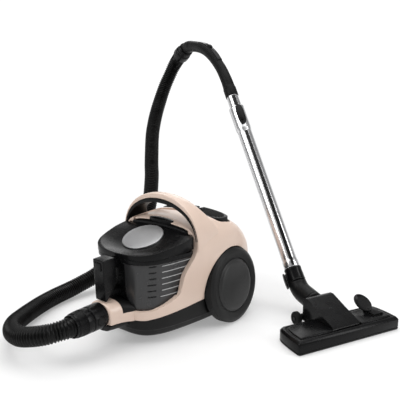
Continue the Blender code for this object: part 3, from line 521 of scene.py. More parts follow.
def floor_material():
    """Pale floor that turns into an even white sweep away from the part."""
    mat = finish("pale_floor", .93, .75, specular=.1, mottle=.01, smudge=.02, grain=(60, .02), soften=0)
    tree = mat.node_tree
    reach = add_node(tree, "VectorMath", {0: tree.nodes["Texture Coordinate"].outputs["Object"]},
        operation="LENGTH").outputs["Value"]
    fade = spread(tree, reach, .3, 1, .35, 1.2, interpolation_type="SMOOTHSTEP")
    sweep = add_node(tree, "Emission", {"Strength": 1.02}).outputs[0]
    blend = add_node(tree, "MixShader", {"Fac": fade, 1: tree.nodes["Principled BSDF"].outputs[0],
        2: sweep}).outputs[0]
    tree.links.new(blend, tree.nodes["Material Output"].inputs["Surface"])
    return mat


def add_floor():
    bm = bmesh.new()
    bmesh.ops.create_circle(bm, cap_ends=True, segments=96, radius=6)
    data = bpy.data.meshes.new("studio_floor")
    bm.to_mesh(data)
    bm.free()
    floor = add_object("studio_floor", data)
    floor.location.z = -.0006
    data.materials.append(floor_material())


def add_world():
    """A white sweep low behind the part, and a dimmer room elsewhere."""
    world = bpy.data.worlds.new("studio")
    bpy.context.scene.world = world
    world.use_nodes = True
    tree = world.node_tree
    back = tree.nodes["Background"].inputs
    back["Color"].default_value = (1, 1, 1, 1)
    ray = add_node(tree, "TexCoord", {}).outputs["Generated"]
    height = add_node(tree, "SeparateXYZ", {0: ray}).outputs["Z"]
    behind = add_node(tree, "VectorMath", {0: ray, 1: (-.6293, .7771, 0)},
        operation="DOT_PRODUCT").outputs["Value"]
    both = add_node(tree, "Math", {0: spread(tree, height, 1, 0, .12, .45),
        1: spread(tree, behind, 0, 1, .2, .75)}, operation="MULTIPLY")
    tree.links.new(spread(tree, both.outputs[0], .3, 1.1, 0, 1), back["Strength"])


def add_lights():
    aim = Vector((0, 0, .22))
    for name, at, size, power in (("key_softbox", (-.75, -1.95, 1.75), (1.3, 1.3), 26),
            ("top_softbox", (.1, .1, 2.3), (2.8, 2.2), 36), ("side_softbox", (1.9, .6, 1.1), (.7, 1.5), 16),
            ("rear_softbox", (-1.2, 1.6, 1.4), (1.2, 1.2), 8)):
        lamp = bpy.data.lights.new(name, "AREA")
        lamp.shape, lamp.size, lamp.size_y = "RECTANGLE", size[0], size[1]
        lamp.energy = power
        ob = add_object(name, lamp)
        ob.location = at
        ob.rotation_euler = (aim - Vector(at)).to_track_quat("-Z", "Y").to_euler()
    bpy.context.scene.view_settings.view_transform = "Standard"


# ---- hose

HOSE_ROUTE = [(0, -334, 77), (0, -348, 77), (-1, -364, 76.5), (-7, -378, 75), (-18, -393, 71.5),
    (-42, -407, 65), (-77, -413, 56), (-112, -405, 49.5), (-143, -388, 43), (-170, -366, 37),
    (-192, -340, 31.5), (-223, -291, 24), (-245, -242, 20.8), (-258, -190, 20.6), (-260, -143, 23.5),
    (-253, -103, 33), (-246, -72, 43), (-240, -20, 65), (-240, 40, 102), (-242, 88, 140), (-250, 130, 181),
    (-290, 185, 243), (-318, 215, 278), (-347, 248, 316), (-364, 268, 340), (-380, 290, 366),
    (-397, 322, 406), (-405, 352, 450), (-404, 374, 491), (-397, 388, 522), (-388, 394, 545),
    (-374, 394.4, 563), (-356, 387.8, 576.7), (-341.5, 381.7, 584.6)]
RIB_PITCH, RIB_STEPS = 5.8, 6


def add_hose():
    """A ribbed tube swept along the route; each rib is one swell of the radius."""
    line = smooth_curve(HOSE_ROUTE, 10)
    length = sum((b - a).length for a, b in zip(line, line[1:]))
    ribs = round(length / RIB_PITCH)
    path = resampled(line, ribs * RIB_STEPS + 1)
    crest, root = HOSE_DIAMETER / 2, HOSE_DIAMETER / 2 - 2.7
    radii = []
    for k in range(len(path)):
        swell = .5 - .5 * cos(2 * pi * k / RIB_STEPS)
        radii.append(root + (crest - root) * swell ** .8)
    ob = piece("hose_tube", swept(path, radii, 40), HOSE_PLASTIC, "canister", "hose", angle=60)


add_camera()
add_hose()
add_floor()
add_world()
add_lights()

# ---- canister body

LEVELS = [tuple(v) for v in smooth_curve(BODY_LEVELS, 3)]
PLAN = even(smooth_plan(both_sides(BODY_HALF_PLAN), 8), 132)
FAR = 400


def body_ring(z, inset=0):
    """Plan of the body at a height; inset draws the outline in, in mm."""
    for (za, *a), (zb, *b) in zip(LEVELS, LEVELS[1:]):
        if z <= zb:
            t = max(0, (z - za) / (zb - za))
            sx, sf, sr = (u + (v - u) * t for u, v in zip(a, b))
            break
    else:
        sx, sf, sr = LEVELS[-1][1:]
    ring = []
    for x, y in PLAN:
        px, py = x * sx, (y - BODY_WAIST) * (sf if y < BODY_WAIST else sr)
        k = 1 - inset / hypot(px, py)
        ring.append((px * k, BODY_WAIST + py * k, z))
    return ring


def rear_wall(x):
    return -105 + 4.5 * (x / 95) ** 2


def cup_plan(grow=0, scale=1, rear_limit=20, fine=4):
    """Plan of the dust cup: rounded front, hollowed rear wall; grow is outward in mm."""
    right = smooth_plan(CUP_HALF_PLAN, fine, False)
    rear = [(64 - 16 * k, rear_wall(64 - 16 * k)) for k in range(9)]
    left = [(-x, y) for x, y in reversed(right) if x > 0]
    out = []
    for x, y in right + rear + left:
        dx, dy = x - CUP_CENTRE[0], y - CUP_CENTRE[1]
        k = scale + grow / hypot(dx, dy)
        out.append((CUP_CENTRE[0] + dx * k, min(CUP_CENTRE[1] + dy * k, rear_wall(x) + rear_limit)))
    return out


def cup_ring(z, grow, fine=6):
    """The cup's plan at a height, which widens upward."""
    scale = .945 + .055 * (z - CUP_BOTTOM) / (CUP_TOP - CUP_BOTTOM)
    return [(x, y, z) for x, y in cup_plan(grow, scale, fine=fine)]


def cup_bay(*heights):
    """The room that the cup stands in."""
    return loft([cup_ring(z, GAP + .5, 4) for z in (CUP_BOTTOM - 3, CUP_TOP, *heights)])


def wheel_frame(side):
    """Wheel axle frame; Z points outward, tipped up by the camber."""
    return axis_frame((WHEEL_CENTRE[0] * side, *WHEEL_CENTRE[1:]), (side * cos(CAMBER), 0, sin(CAMBER)))


def arch_station(angle, a, h, front, rear, thick, low=200):
    """One section of the carry handle: a flat loop with rounded edges."""
    x, z = (signed_power(v, 2 / 2.12) for v in (cos(angle), sin(angle)))
    corners = []
    for y, lift, inset in ((front, 0, 2.2), (front + 4, -.4, 0), ((front + rear) / 2, -1.6, -.8),
            (rear - 5, -5.4, 0), (rear, -7.2, 2.6), (rear, -7.2, thick - 2), (rear - 4, -5.4, thick),
            (front + 3, 0, thick), (front, 0, thick - 1.6)):
        corners.append((x * (a - inset * .32), y, low + z * (h + lift * z - inset)))
    return smooth_curve(corners, 4, closed=True)


def arch(a, h, front, depth, thick, sink=0, stations=64, start=.02):
    """A bow of the carry handle; its feet can be sunk in the shell."""
    rings = []
    for k in range(stations):
        angle = pi * (start + (1 - 2 * start) * k / (stations - 1))
        rear = front + depth + 32 * abs(cos(angle)) ** 6
        rings.append(arch_station(angle, a, h, front, rear, thick))
    if sink:
        feet = [[(p[0], p[1], p[2] - sink) for p in ring] for ring in (rings[0], rings[-1])]
        rings = [feet[0]] + rings + [feet[1]]
    return loft(rings)


deck_top = crown(244, .0014, .0042, -52)


def deck_plan(g=0):
    """Plan of the plate behind the handle, grown by g."""
    front = [(x * (1 + g / 80), rear_wall(x) + .6 - g) for x in [80 - 160 * i / 24 for i in range(25)]]
    return front + smooth_plan([(-80 - g, -24 + g), (-40, -17 + g), (0, -15 + g), (40, -17 + g),
        (80 + g, -24 + g)], 4, False)


def rear_plan(g=0):
    """Plan of the plate under the pedals, grown by g."""
    half = [(-86, -4), (-60, -9), (-20, -12), (20, -12), (60, -9), (86, -4), (92, 16), (88, 40), (60, 50),
        (20, 54), (-20, 54), (-60, 50), (-88, 40), (-92, 20)]
    return smooth_plan([(x * (1 + g / 60), y + copysign(g, y - 20)) for x, y in half])


def add_body():
    """Black base under the rose shell, with the handle's bow and its lining."""
    split = smooth_plan(SPLIT_FRONT, 4, False) + SPLIT_REAR
    panel = smooth_plan(BAND_CURVE, 4, False) + BAND_TOP
    below = prism_x([(y, z + GAP) for y, z in split] + [(180, -20), (-320, -20)], -FAR, FAR)
    above = prism_x(split + [(180, 400), (-320, 400)], -FAR, FAR)
    plan = oval(0, 10, CAVITY_HALF_WIDTH, 103, 72, 3.2)
    levels = ((26, .9), (40, .97), (110, 1), (160, .95), (190, .78))
    hollow = loft([[(x * s, 10 + (y - 10) * s, z) for x, y in plan] for z, s in levels])
    bay = cup_bay(420)
    wall = block(-92.5, 92.5, -150, -91, 60.5, 219)
    wells = joined(*[disc(87.3, -15.5, 60, wheel_frame(s), 128, 2.5) for s in (1, -1)])
    bores = joined(*[disc(6.3, -27, 8, wheel_frame(s), 32) for s in (1, -1)])
    room = [(0, -5), (27.5, -5), (27.5, 41), (5.3, 41), (5.3, 51), (0, 51)]
    caster = lathe(room, Matrix.Translation((*CASTER_XY, 0)), 48)
    gland = disc(9.3, 60, 200, axis_frame(GLAND, REARWARD), 32)
    inlet = disc(26.4, -10, 60, axis_frame(INLET, REARWARD), 64)

    # the bumper steps in below a ledge that runs right round the base
    ledge = [(18, 4.5), (19.5, 3), (24, 2.8), (33.5, 2.6), (34.6, 2.2), (35.2, 1), (36.2, .2), (37.5, 0)]
    rings = [body_ring(z, d) for z, d in ledge] + [body_ring(z) for z in range(41, 130, 4)]
    chin = []
    for y, half, low in ((-277.6, 28.5, 45), (-277, 30, 43), (-274, 31, 41.5), (-262, 32, 40),
            (-240, 35, 38), (-216, 38, 37), (-200, 38, 37)):
        chin.append([(x, y, z) for x, z in oval(0, 70, half, 70 - low, 72, 2.5)])
    piece("base_bumper", loft(rings), SATIN, "canister", "base_pan",
        steps=[(loft(chin), JOIN), *cuts(above, hollow, bay, wall, wells, bores, caster, gland, inlet)])

    deck_room = column(deck_plan(GAP), 212, FAR)
    pedal_room = column(rear_plan(GAP), 200, FAR)
    piece("body_shell", loft([body_ring(row[0]) for row in LEVELS]), ROSE, "canister", "upper_shell",
        "carry_handle", steps=[*cuts(below, hollow, bay, prism_x(panel, -FAR, FAR), wall, wells, inlet,
        deck_room, pedal_room), (arch(109, 95, -97, 39, 11.5, 16, 72, 0), JOIN),
        (block(-52.3, 52.3, 95, 160, 91.7, 150.3), CUT)])

    piece("handle_lining", arch(104.4, 81.8, -95, 36.5, 6), SATIN, "canister", "handle_liner")
    # the lining wraps round the front edge, wider toward the feet
    lip = []
    for k in range(65):
        angle = pi * (.02 + .96 * k / 64)
        hide = 2.2 + 8 * sin(angle) ** .8
        outer = arch_station(angle, 109 - .32 * hide, 95 - hide, -98.2, -94, 4)[0]
        inner = arch_station(angle, 102.8, 76.6, -98.2, -94, 4)[0]
        corners = (outer, -96.6), (outer, -97.7), (inner, -98), (inner, -94.5)
        lip.append([(p[0], y, p[2]) for p, y in corners])
    piece("handle_lining_lip", loft(lip), SATIN, "canister", "handle_liner", bevel=.3)
    spindle = [(0, -23), (12, -23), (12, -17.3), (8, -17.3), (8, 17.3), (12, 17.3), (12, 32.5), (0, 32.5)]
    piece("reel_pin", lathe(spindle, axis_frame((58, 14, 96), (1, 0, 0)), 48), SATIN, "canister",
        "base_pan")


# ---- decks, pedals, vent and wheels

def latch_top(x, y):
    """Under the deck plate, stepping up in front of it."""
    return deck_top(x, y) - 6 + 4 * max(0, min(1, (-92 - y) / 2))


def add_top():
    """Deck plate with the container's release button, and the two foot pedals behind it."""
    plan, centre = deck_plan(), (0, -64)
    well = oval(0, -91.5, 34.5, 10.5)
    plate = [(x, max(y, rear_wall(x) + 8.6)) for x, y in plan]
    piece("top_plate", slab(plate, deck_top, crown(239.5, .0014, .0042, -52), centre), ROSE, "canister",
        "top_deck", bevel=.9, steps=cuts(column(well, 215, 260)))
    inner = [(x * .99, -64 + (y + 64) * (.995 if y < -64 else .95)) for x, y in plan]
    shrink = [1, .985, .96] + [.93 - .03 * k for k in range(9)] + [.64, .56, .48, .36, .24, .12]
    piece("latch_block", slab(inner, latch_top, 212.3, centre, shrink), GLOSS, "canister", "latch_housing",
        bevel=.6, steps=cuts(column(well, 221, 260)))
    button = slab(oval(0, -91.5, 34, 10), crown(241.6, .003, .03, -91.5), 226, (0, -91.5))
    piece("container_button", button, GLOSS, "release_button", "cup_release_button", bevel=1.6, segments=3)

    piece("rear_plate", slab(rear_plan(), crown(212, .0006, .002, 20), 200.3, (0, 22)), SATIN, "canister",
        "rear_deck", bevel=1)
    half = [(6, -7), (40, -6), (68, -3), (83, 6), (87, 22), (84, 38), (66, 45), (36, 48), (6, 49)]
    pedal_top = crown(240, .0011, .0022, 15)
    for name, side in (("power", 1), ("rewind", -1)):
        plan = [(side * x, y) for x, y in smooth_plan(half, 4, False)][::side]
        rows = []
        for y in [3.5 + k * 5.2 for k in range(8)]:
            reach = 82 - .045 * (y - 22) ** 2
            xs = [side * (12 + (reach - 12) * i / 16) for i in range(17)]
            rows.append([(x, y, pedal_top(x, y) + .15) for x in xs])
        piece(name + "_foot_pedal", slab(plan, pedal_top, 216, (side * 45, 22)), SATIN,
            name + "_pedal_part", name + "_pedal", bevel=2.2, segments=3)
        piece(name + "_pedal_ribs", bars(rows, 1.1), SATIN, name + "_pedal_part", name + "_pedal", angle=50)


def add_rear_panel():
    """Louvred exhaust cover with the pleated filter behind it, and the cord's gland."""
    xs = [-52 + 4 * i for i in range(27)]
    outline = [(x, 121 + 5.5 - 6.5 * (x / 52) ** 2) for x in xs] + [(x, 113.2) for x in xs[::-1]]
    slots = []
    for z in [100.2 + k * 7.6 for k in range(7)]:
        end = [(44 + 1.9 * cos(a), z + 1.9 * sin(a)) for a in [pi * (i / 8 - .5) for i in range(9)]]
        slot = end + [(-x, 2 * z - zz) for x, zz in end]
        slots.append(loft([[(x, y, zz) for x, zz in slot] for y in (105, 140)]))
    piece("exhaust_louvres", column(outline, 92, 150), SATIN, "canister", "exhaust_grille", bevel=.7,
        steps=cuts(joined(*slots)))
    folds = 34
    zigzag = [(-46 + 92 * i / folds, 112.4 if i % 2 else 105.5) for i in range(folds + 1)]
    pleats = column(zigzag + [(46, 100), (-46, 100)], 97, 145)
    piece("pleated_filter", joined(pleats, block(-48, 48, 97.2, 104, 95, 147)), PAPER, "canister",
        "hepa_filter", angle=20)
    gland = [(4, 100), (9, 100), (9, 124), (13, 124.3), (13, 127), (10, 129), (9.2, 129.2), (4, 129.2)]
    piece("cord_bush", lathe(gland, axis_frame(GLAND, REARWARD), soft=1.2), RUBBER, "canister",
        "cord_gland")


def add_wheels():
    half, r = WHEEL_WIDTH / 2, WHEEL_RADIUS
    tread = []
    for at in [6.2 - half + k * 3.6 for k in range(5)]:
        tread += [(r - .25, at - .9), (r - 1.1, at - .5), (r - 1.1, at + .5), (r - .25, at + .9)]
    tyre = ([(8.3, -half), (60, -half), (72, -half + 3), (r - 5, -half), (r - 1, -half + 4)] + tread
        + [(r - 1.5, half - 5), (r - 6, half - 1.5), (r - 9, half - .3), (r - 12, half), (64, half - 1),
        (60.6, half - 1.7), (59.6, half - 3), (59.6, half - 9), (8.3, half - 9)])
    cap = [(0, half - 8.7), (59.3, half - 8.7), (59.3, half - 2.6), (58.6, half - 1.9), (56.8, half - 1.2),
        (55.2, half + .4), (53.6, half + 2), (51, half + 2.9), (46, half + 3.3), (30, half + 4.1),
        (12, half + 4.7), (0, half + 4.9)]
    for name, side in (("left", 1), ("right", -1)):
        at, body = wheel_frame(side), "wheel_" + name[0]
        piece("tyre_" + name, lathe(tyre, at, 160, 1.4), TYRE, body, "wheel_" + name)
        piece("wheel_disc_" + name, lathe(cap, at, 160, 3, 5), WHEEL_DISC, body, "hub_cap_" + name)


def add_caster():
    x, y = CASTER_XY
    r = CASTER_RADIUS
    pin = [(0, 33.5), (25, 33.5), (25, 40.5), (5, 40.7), (5, 50), (0, 50)]
    spindle = axis_frame((x, y + 8, r), (1, 0, 0))
    piece("caster_yoke", lathe(pin, Matrix.Translation((x, y, 0)), soft=1), SATIN, "caster", "caster_fork",
        bevel=.5, steps=[(block(x - 13.5, x + 13.5, y - 2, y + 18, 10, 35), JOIN),
        (block(x - 9.3, x + 9.3, y - 12, y + 30, -5, 33), CUT), (disc(2, -13, 13, spindle, 32), JOIN)])
    roller = [(2.35, -9), (12.5, -9), (r, -6.5), (r, 6.5), (12.5, 9), (2.35, 9)]
    piece("caster_roller_wheel", lathe(roller, spindle, soft=1.2), RUBBER, "caster_roller", "caster_wheel")


# ---- dust container

RIB_HEIGHTS = [172 - 13.1 * k for k in range(6)]
# section of the lid's skirt over the cup's rim: outward, height
SKIRT = [(.4, 178.6), (2.2, 177.6), (3.1, 178.2), (3.3, 179.4), (3.3, 187.9), (.4, 187.9)]


def lid_height(x, y):
    """Upper face of the lid: a shallow sloping crown."""
    ridge, edge = 209.5 + (y + 147) * .33, 198 + (y + 227) * .16
    along = (y + 150) / -82 if y < -150 else .35 * (y + 150) / 60
    k = max(0, min(1, (1 - min(1, hypot(x / 98, along))) / .55))
    return edge + (ridge - edge) * (k * k * (3 - 2 * k) if ridge > edge else k)


def interpolated(wall, at, default):
    """Second value at a place along a list of pairs."""
    for (ua, va), (ub, vb) in zip(wall, wall[1:]):
        if ua <= at <= ub:
            return va + (vb - va) * (at - ua) / (ub - ua)
    return default


def cup_side(z, first, last, side, proud):
    """Points on the cup's side wall between two values of y."""
    wall = [(y, x) for x, y, _ in cup_ring(z, proud, 8) if x > 0 and first <= y <= last]
    return [(side * x, y, z) for y, x in sorted(wall, key=lambda p: p[0])]


def cup_flank(y, z, grow):
    """The cup's half width at a distance back."""
    wall = sorted(((y, x) for x, y, _ in cup_ring(z, grow) if x > 30), key=lambda p: p[0])
    return interpolated(wall, y, wall[-1][1])


def cup_front(x, z, grow):
    """The cup's front face at a distance from the middle."""
    wall = [(x, y) for x, y, _ in cup_ring(z, grow) if x > -1 and y < -190]
    return interpolated(wall, x, wall[0][1])


def slot_shade_strip(z, first, last, side, half):
    """A flat black strip sunk in the cup's wall: painted shade for the dark depth of a slot."""
    rings = []
    for y in [first + (last - first) * k / 6 for k in range(7)]:
        rings.append([(side * cup_flank(y, h, sunk), y, h)
            for sunk, h in ((-2.2, z - half), (-1.1, z - half), (-1.1, z + half), (-2.2, z + half))])
    return loft(rings)


def front_shade_sheet():
    """Black sheet over the cup's front behind the grip, flaring toward the inlet: painted shade for the
    shadow beside the grip.
    """
    rings = []
    for z in (80, 82, 86, 92, 99, 106, 113, 122, 140, 160, 176, 178):
        half = 23 + 15 * max(0, min(1, (116 - z) / 34)) ** 1.5
        xs = [half * (k / 8 - 1) for k in range(17)]
        faces = (.7, xs), (-.4, xs[::-1])
        rings.append([(x, cup_front(abs(x), z, grow), z) for grow, row in faces for x in row])
    return loft(rings)


def add_cup():
    levels = [(CUP_BOTTOM, -1.8), (67, -.8), (69, 0), (90, 0), (110, 0), (130, 0), (150, 0), (170, 0),
        (185, 0), (186.5, 0), (CUP_TOP, -.4)]
    inside = loft([cup_ring(z, -CUP_WALL) for z in (40, 110, 150, 220)])
    port = disc(15.3, -25, 20, axis_frame((0, -227, 96), REARWARD), 48)
    slots, slot_shades, rows = [], [], []
    for z in RIB_HEIGHTS:
        for side in (1, -1):
            slots.append(bars([cup_side(z + 1.2, -208, -193, side, .1)], 1.6))
            # black strip in each slot: painted shade for the slot's depth
            slot_shades.append(slot_shade_strip(z + 1.2, -208, -193, side, 1.4))
            rows.append(cup_side(z, -184, -103, side, .45))
    piece("cup_wall", loft([cup_ring(z, g) for z, g in levels]), SMOKED, "container", "dust_cup",
        steps=cuts(inside, port, joined(*slots)))
    # the black sheet on the cup's front beside the grip is painted shade
    for name, mesh, material in (("cup_slot_painted_shade", joined(*slot_shades), GLOSS),
            ("cup_ribs", bars(rows, .85, 12), RIB_PAINTED_HIGHLIGHT), ("cup_front_painted_shade", front_shade_sheet(), GLOSS)):
        piece(name, mesh, material, "container", "dust_cup", angle=50)
    base = [(x, y) for x, y, _ in cup_ring(70, -CUP_WALL - .4, 4)]
    piece("cup_floor", column(base, CUP_BOTTOM + .2, 69.5), SMOKED, "container", "cup_base", bevel=.5)

    side = [(-274.5, 106), (-271, 106), (-244, 135), (-244, 190), (-247, 193), (-278.5, 193)]
    piece("container_handle", prism_x(side, -15, 15), GLOSS, "container", "cup_handle", bevel=2.6,
        segments=4, angle=25, steps=[(block(-11.5, 11.5, -258, -229, 168, 184.5), JOIN),
        (block(-11.5, 11.5, -268, -228, 112, 124), JOIN), (block(-8.15, 8.15, -300, -267.5, 171.15, 186.85),
        CUT)])
    piece("lid_catch", block(-8, 8, -279.4, -270, 171.3, 186.7), GLOSS, "lid_button", "lid_latch_button",
        bevel=.5, segments=3)


def add_lid():
    """Lid with its round badge and skirt, and the cyclone that hangs from it."""
    low = even(cup_plan(3.5, 1, -.4, fine=8), 150)
    low = [(x * (1 + .03 * max(0, min(1, (-112 - y) / 25)) * abs(x) / 98), y) for x, y in low]
    shrink = [1, .985, .97, .955, .94, .92, .9, .88, .86, .84, .81, .78, .75, .72, .69, .66, .62, .58, .54,
        .5, .45, .4, .3, .2, .1]
    tilt = axis_frame(BADGE_CENTRE, (0, -sin(BADGE_TILT), cos(BADGE_TILT)))
    lid = slab(low, lid_height, lambda x, y: CUP_TOP + .3 + (y + 227) * .035, (0, -150), shrink)
    r = BADGE_RADIUS
    piece("container_cover", lid, GLOSS, "container_lid", "cup_lid", bevel=2, segments=3, angle=40,
        steps=cuts(disc(r + .5, -3.2, 30, tilt)))
    badge = [(0, -2.9), (r, -2.9), (r, .2), (r - .4, 1), (r - 1.8, 1.5), (r - 5, 1.9), (r - 5.6, 1.5),
        (r - 6.4, 2), (r - 20, 2.8), (0, 3.2)]
    piece("round_badge", lathe(badge, tilt, 128, .6), SILVER, "container_lid", "badge_disc")
    sections = [[(x, y, z) for (x, y), (_, z) in zip(row, SKIRT)]
        for row in zip(*[cup_plan(g, 1, -.6, fine=6) for g, _ in SKIRT]) if row[0][1] < -110]
    piece("cover_skirt", loft(sections), GLOSS, "container_lid", "cup_lid", bevel=.4, angle=50,
        steps=cuts(block(-12.4, 12.4, -250, -200, 170, 186.2)))
    cyclone = Matrix.Translation((0, -170, 0))
    funnel = [(30, 86), (33, 86), (22, 92), (20, 108), (34, 150), (36, 184), (33.5, 184), (31.5, 151),
        (17.5, 109), (19.5, 91)]
    piece("cyclone_funnel", lathe(funnel, cyclone, soft=2), HOUSING, "container_lid", "cyclone_cone")
    screen = [(9, 128), (14, 128), (14, 184), (11.5, 184), (11.5, 130.5), (9, 130.5)]
    piece("screen_tube", lathe(screen, cyclone), STEEL, "container_lid", "mesh_filter")


# ---- inlet and hose ends

def add_inlet():
    """Saddle of the shell's nose, the turning connector and the hose's end cuff."""
    rings = []
    for y, half, top, low in ((-214, 49, 96, 56), (-222, 47, 99, 57), (-230, 44, 101.5, 58),
            (-240, 39, 103, 59), (-252, 35.5, 103.7, 60), (-264, 33, 103.8, 60.5),
            (-273, 31.8, 103.6, 60.6), (-276, 31.2, 103.2, 60.8), (-277.4, 30.2, 102.2, 61.4),
            (-278, 28.8, 100.8, 62.5)):
        curve = oval(0, INLET.z, half, top - INLET.z, 96, 2.5)[:49]
        rings.append([(x, y, z) for x, z in curve + [(-half * .98, low), (half * .98, low)]])
    inward, back = axis_frame(INLET, REARWARD), axis_frame(INLET, (0, -1, 0))
    bore, tube = disc(20.3, -20, 60, inward), disc(26, .3, 50, inward)
    piece("inlet_saddle", loft(rings), ROSE, "canister", "inlet_collar", bevel=.5,
        steps=[(tube, JOIN), *cuts(block(-70, 70, -249, -190, 79, 130), bore, cup_bay())])
    inner = [[(x * .975, y, 79 + (z - 79) * .97) for x, y, z in ring] for ring in rings[:5]]
    piece("inlet_boot", loft(inner), SATIN, "canister", "base_pan", bevel=.6,
        steps=cuts(block(-70, 70, -300, -190, 20, 78.6), block(-70, 70, -300, -249.2, 20, 130), bore,
        cup_bay()))

    barrel = [(16, -30), (20, -30), (20, .4), (25.8, .4), (26.7, 1.6), (26.7, 32.4), (26.2, 33.6),
        (25.4, 34.6), (16, 34.6)]
    pods = [axis_frame(INLET + Vector((s * 20, -RELEASE_BACK, 0)), (s, 0, 0)) for s in (1, -1)]
    steps = [(disc(9.9, -8, 6.6, at, 64, .6), JOIN) for at in pods]
    steps += cuts(*[disc(9, -2, 20, at, 64) for at in pods])
    piece("connector_barrel", lathe(barrel, back, 128, 1.2), GLOSS, "connector", "hose_connector", bevel=.5,
        steps=steps)
    pad = [(0, .3), (8.6, .3), (8.6, 6), (7.9, 6.9), (5.4, 7.5), (0, 7.8)]
    for name, at in zip(("left", "right"), pods):
        piece("release_pad_" + name, lathe(pad, at, soft=1), SATIN, "release_" + name[0], "hose_release_"
            + name)
    cuff = [(16, 35), (25.4, 35), (26.4, 36), (26.4, 50)]
    for k in range(6):
        at = 50.4 + k * 3
        cuff += [(25, at), (25, at + .9), (26.3 - .2 * k, at + 1.2), (26.3 - .2 * k, at + 2.6)]
    cuff += [(24.6, 69), (22.9, 70.5), (22.9, 71.5), (23.6, 72.4), (23.6, 75), (22.6, 76), (20.9, 76),
        (20.9, 60), (16, 56)]
    piece("hose_end_cuff", lathe(cuff, back, 128, .6), GLOSS, "canister", "hose_cuff")


# ---- grip and wand

def along_grip():
    """The grip's centre line, its radii, and the bend's own points."""
    socket = [WAND_START + WAND_AXIS * d for d in (474, 475.5, 499.5, 501, 502.5)]
    bend = [Vector(p) for p in ((-104, 280.5, 519), (-132, 292.5, 549), (-172, 309, 578), (-213, 326, 596),
        (-262, 348, 604))]
    spine = smooth_curve([WAND_START + WAND_AXIS * 504] + bend + [GRIP_END - HOSE_OUT * 12], 10)
    last = len(spine) - 1
    radii = [15.8 - 1.7 * sin(pi * k / last) for k in range(last - 5)]
    path = socket + spine + [GRIP_END - HOSE_OUT * 1.2, GRIP_END]
    return path, [16.4, 17, 17, 16.4, 16.2] + radii + [16.2] + [16.6] * 6 + [15.9], bend


def add_grip():
    """Curved hand grip from the wand's top to the hose, with its air slide and swivel ring."""
    path, radii, bend = along_grip()
    upright = axis_frame(Vector((-196, 319.2, 589.6)), (-.9, .39, .28)) @ LAID
    slot = moved(slab(oval(0, 0, 5.3, 15.3, 48, 6), 30, 5, (0, 0), [1, .5]), upright)
    piece("grip_body", swept(path, radii, 72, 1.2), BLACK_SOFT, "handle", "grip", angle=40,
        steps=cuts(slot))

    # raised frame round the air slide, following the grip's bend
    rings = []
    line = smooth_curve(bend[1:], 8)[2:22]
    for k, at in enumerate(line[1:-1], 1):
        ahead = (line[k + 1] - line[k - 1]).normalized()
        out = (Vector((0, 0, 1)) - ahead * ahead.z).normalized()
        across = ahead.cross(out)
        high = 17.6 - 3 * abs(2 * k / len(line) - 1) ** 6
        rings.append([at + across * x + out * h for x, h in ((-7.5, 9), (-7.5, high - 1.5), (-6, high),
            (6, high), (7.5, high - 1.5), (7.5, 9))])
    piece("air_slide_frame", loft(rings), GLOSS, "handle", "grip", bevel=.5, steps=cuts(slot))
    button = slab(oval(0, -6, 5, 9, 48, 4), crown(21.4, .05, .012, -6), 12.8, (0, -6))
    rows = [[(x, y, 21.2 - .012 * (y + 6) ** 2) for x in (-3.2, 3.2)] for y in (-11, -8.5, -6, -3.5, -1)]
    piece("air_button", moved(button, upright), GLOSS, "air_control", "air_slider", bevel=.9)
    piece("air_button_ribs", moved(bars(rows, .55), upright), GLOSS, "air_control", "air_slider")

    ring = [(14, .4), (18.6, .4), (20.6, 3), (21, 4.5)]
    for at in [5.4 + k * 2.9 for k in range(3)]:
        ring += [(21, at), (20.2, at + .5), (20.2, at + 1), (21, at + 1.5)]
    ring += [(21, 14.6), (19.5, 17), (20.2, 18.6), (22.4, 21), (23.2, 25), (23.5, 34), (23.6, 42.6),
        (22.8, 44), (21.5, 44), (21.5, 30), (14, 28)]
    piece("swivel_ring", lathe(ring, axis_frame(GRIP_END, HOSE_OUT), 128, .8), GLOSS, "canister",
        "grip_swivel")


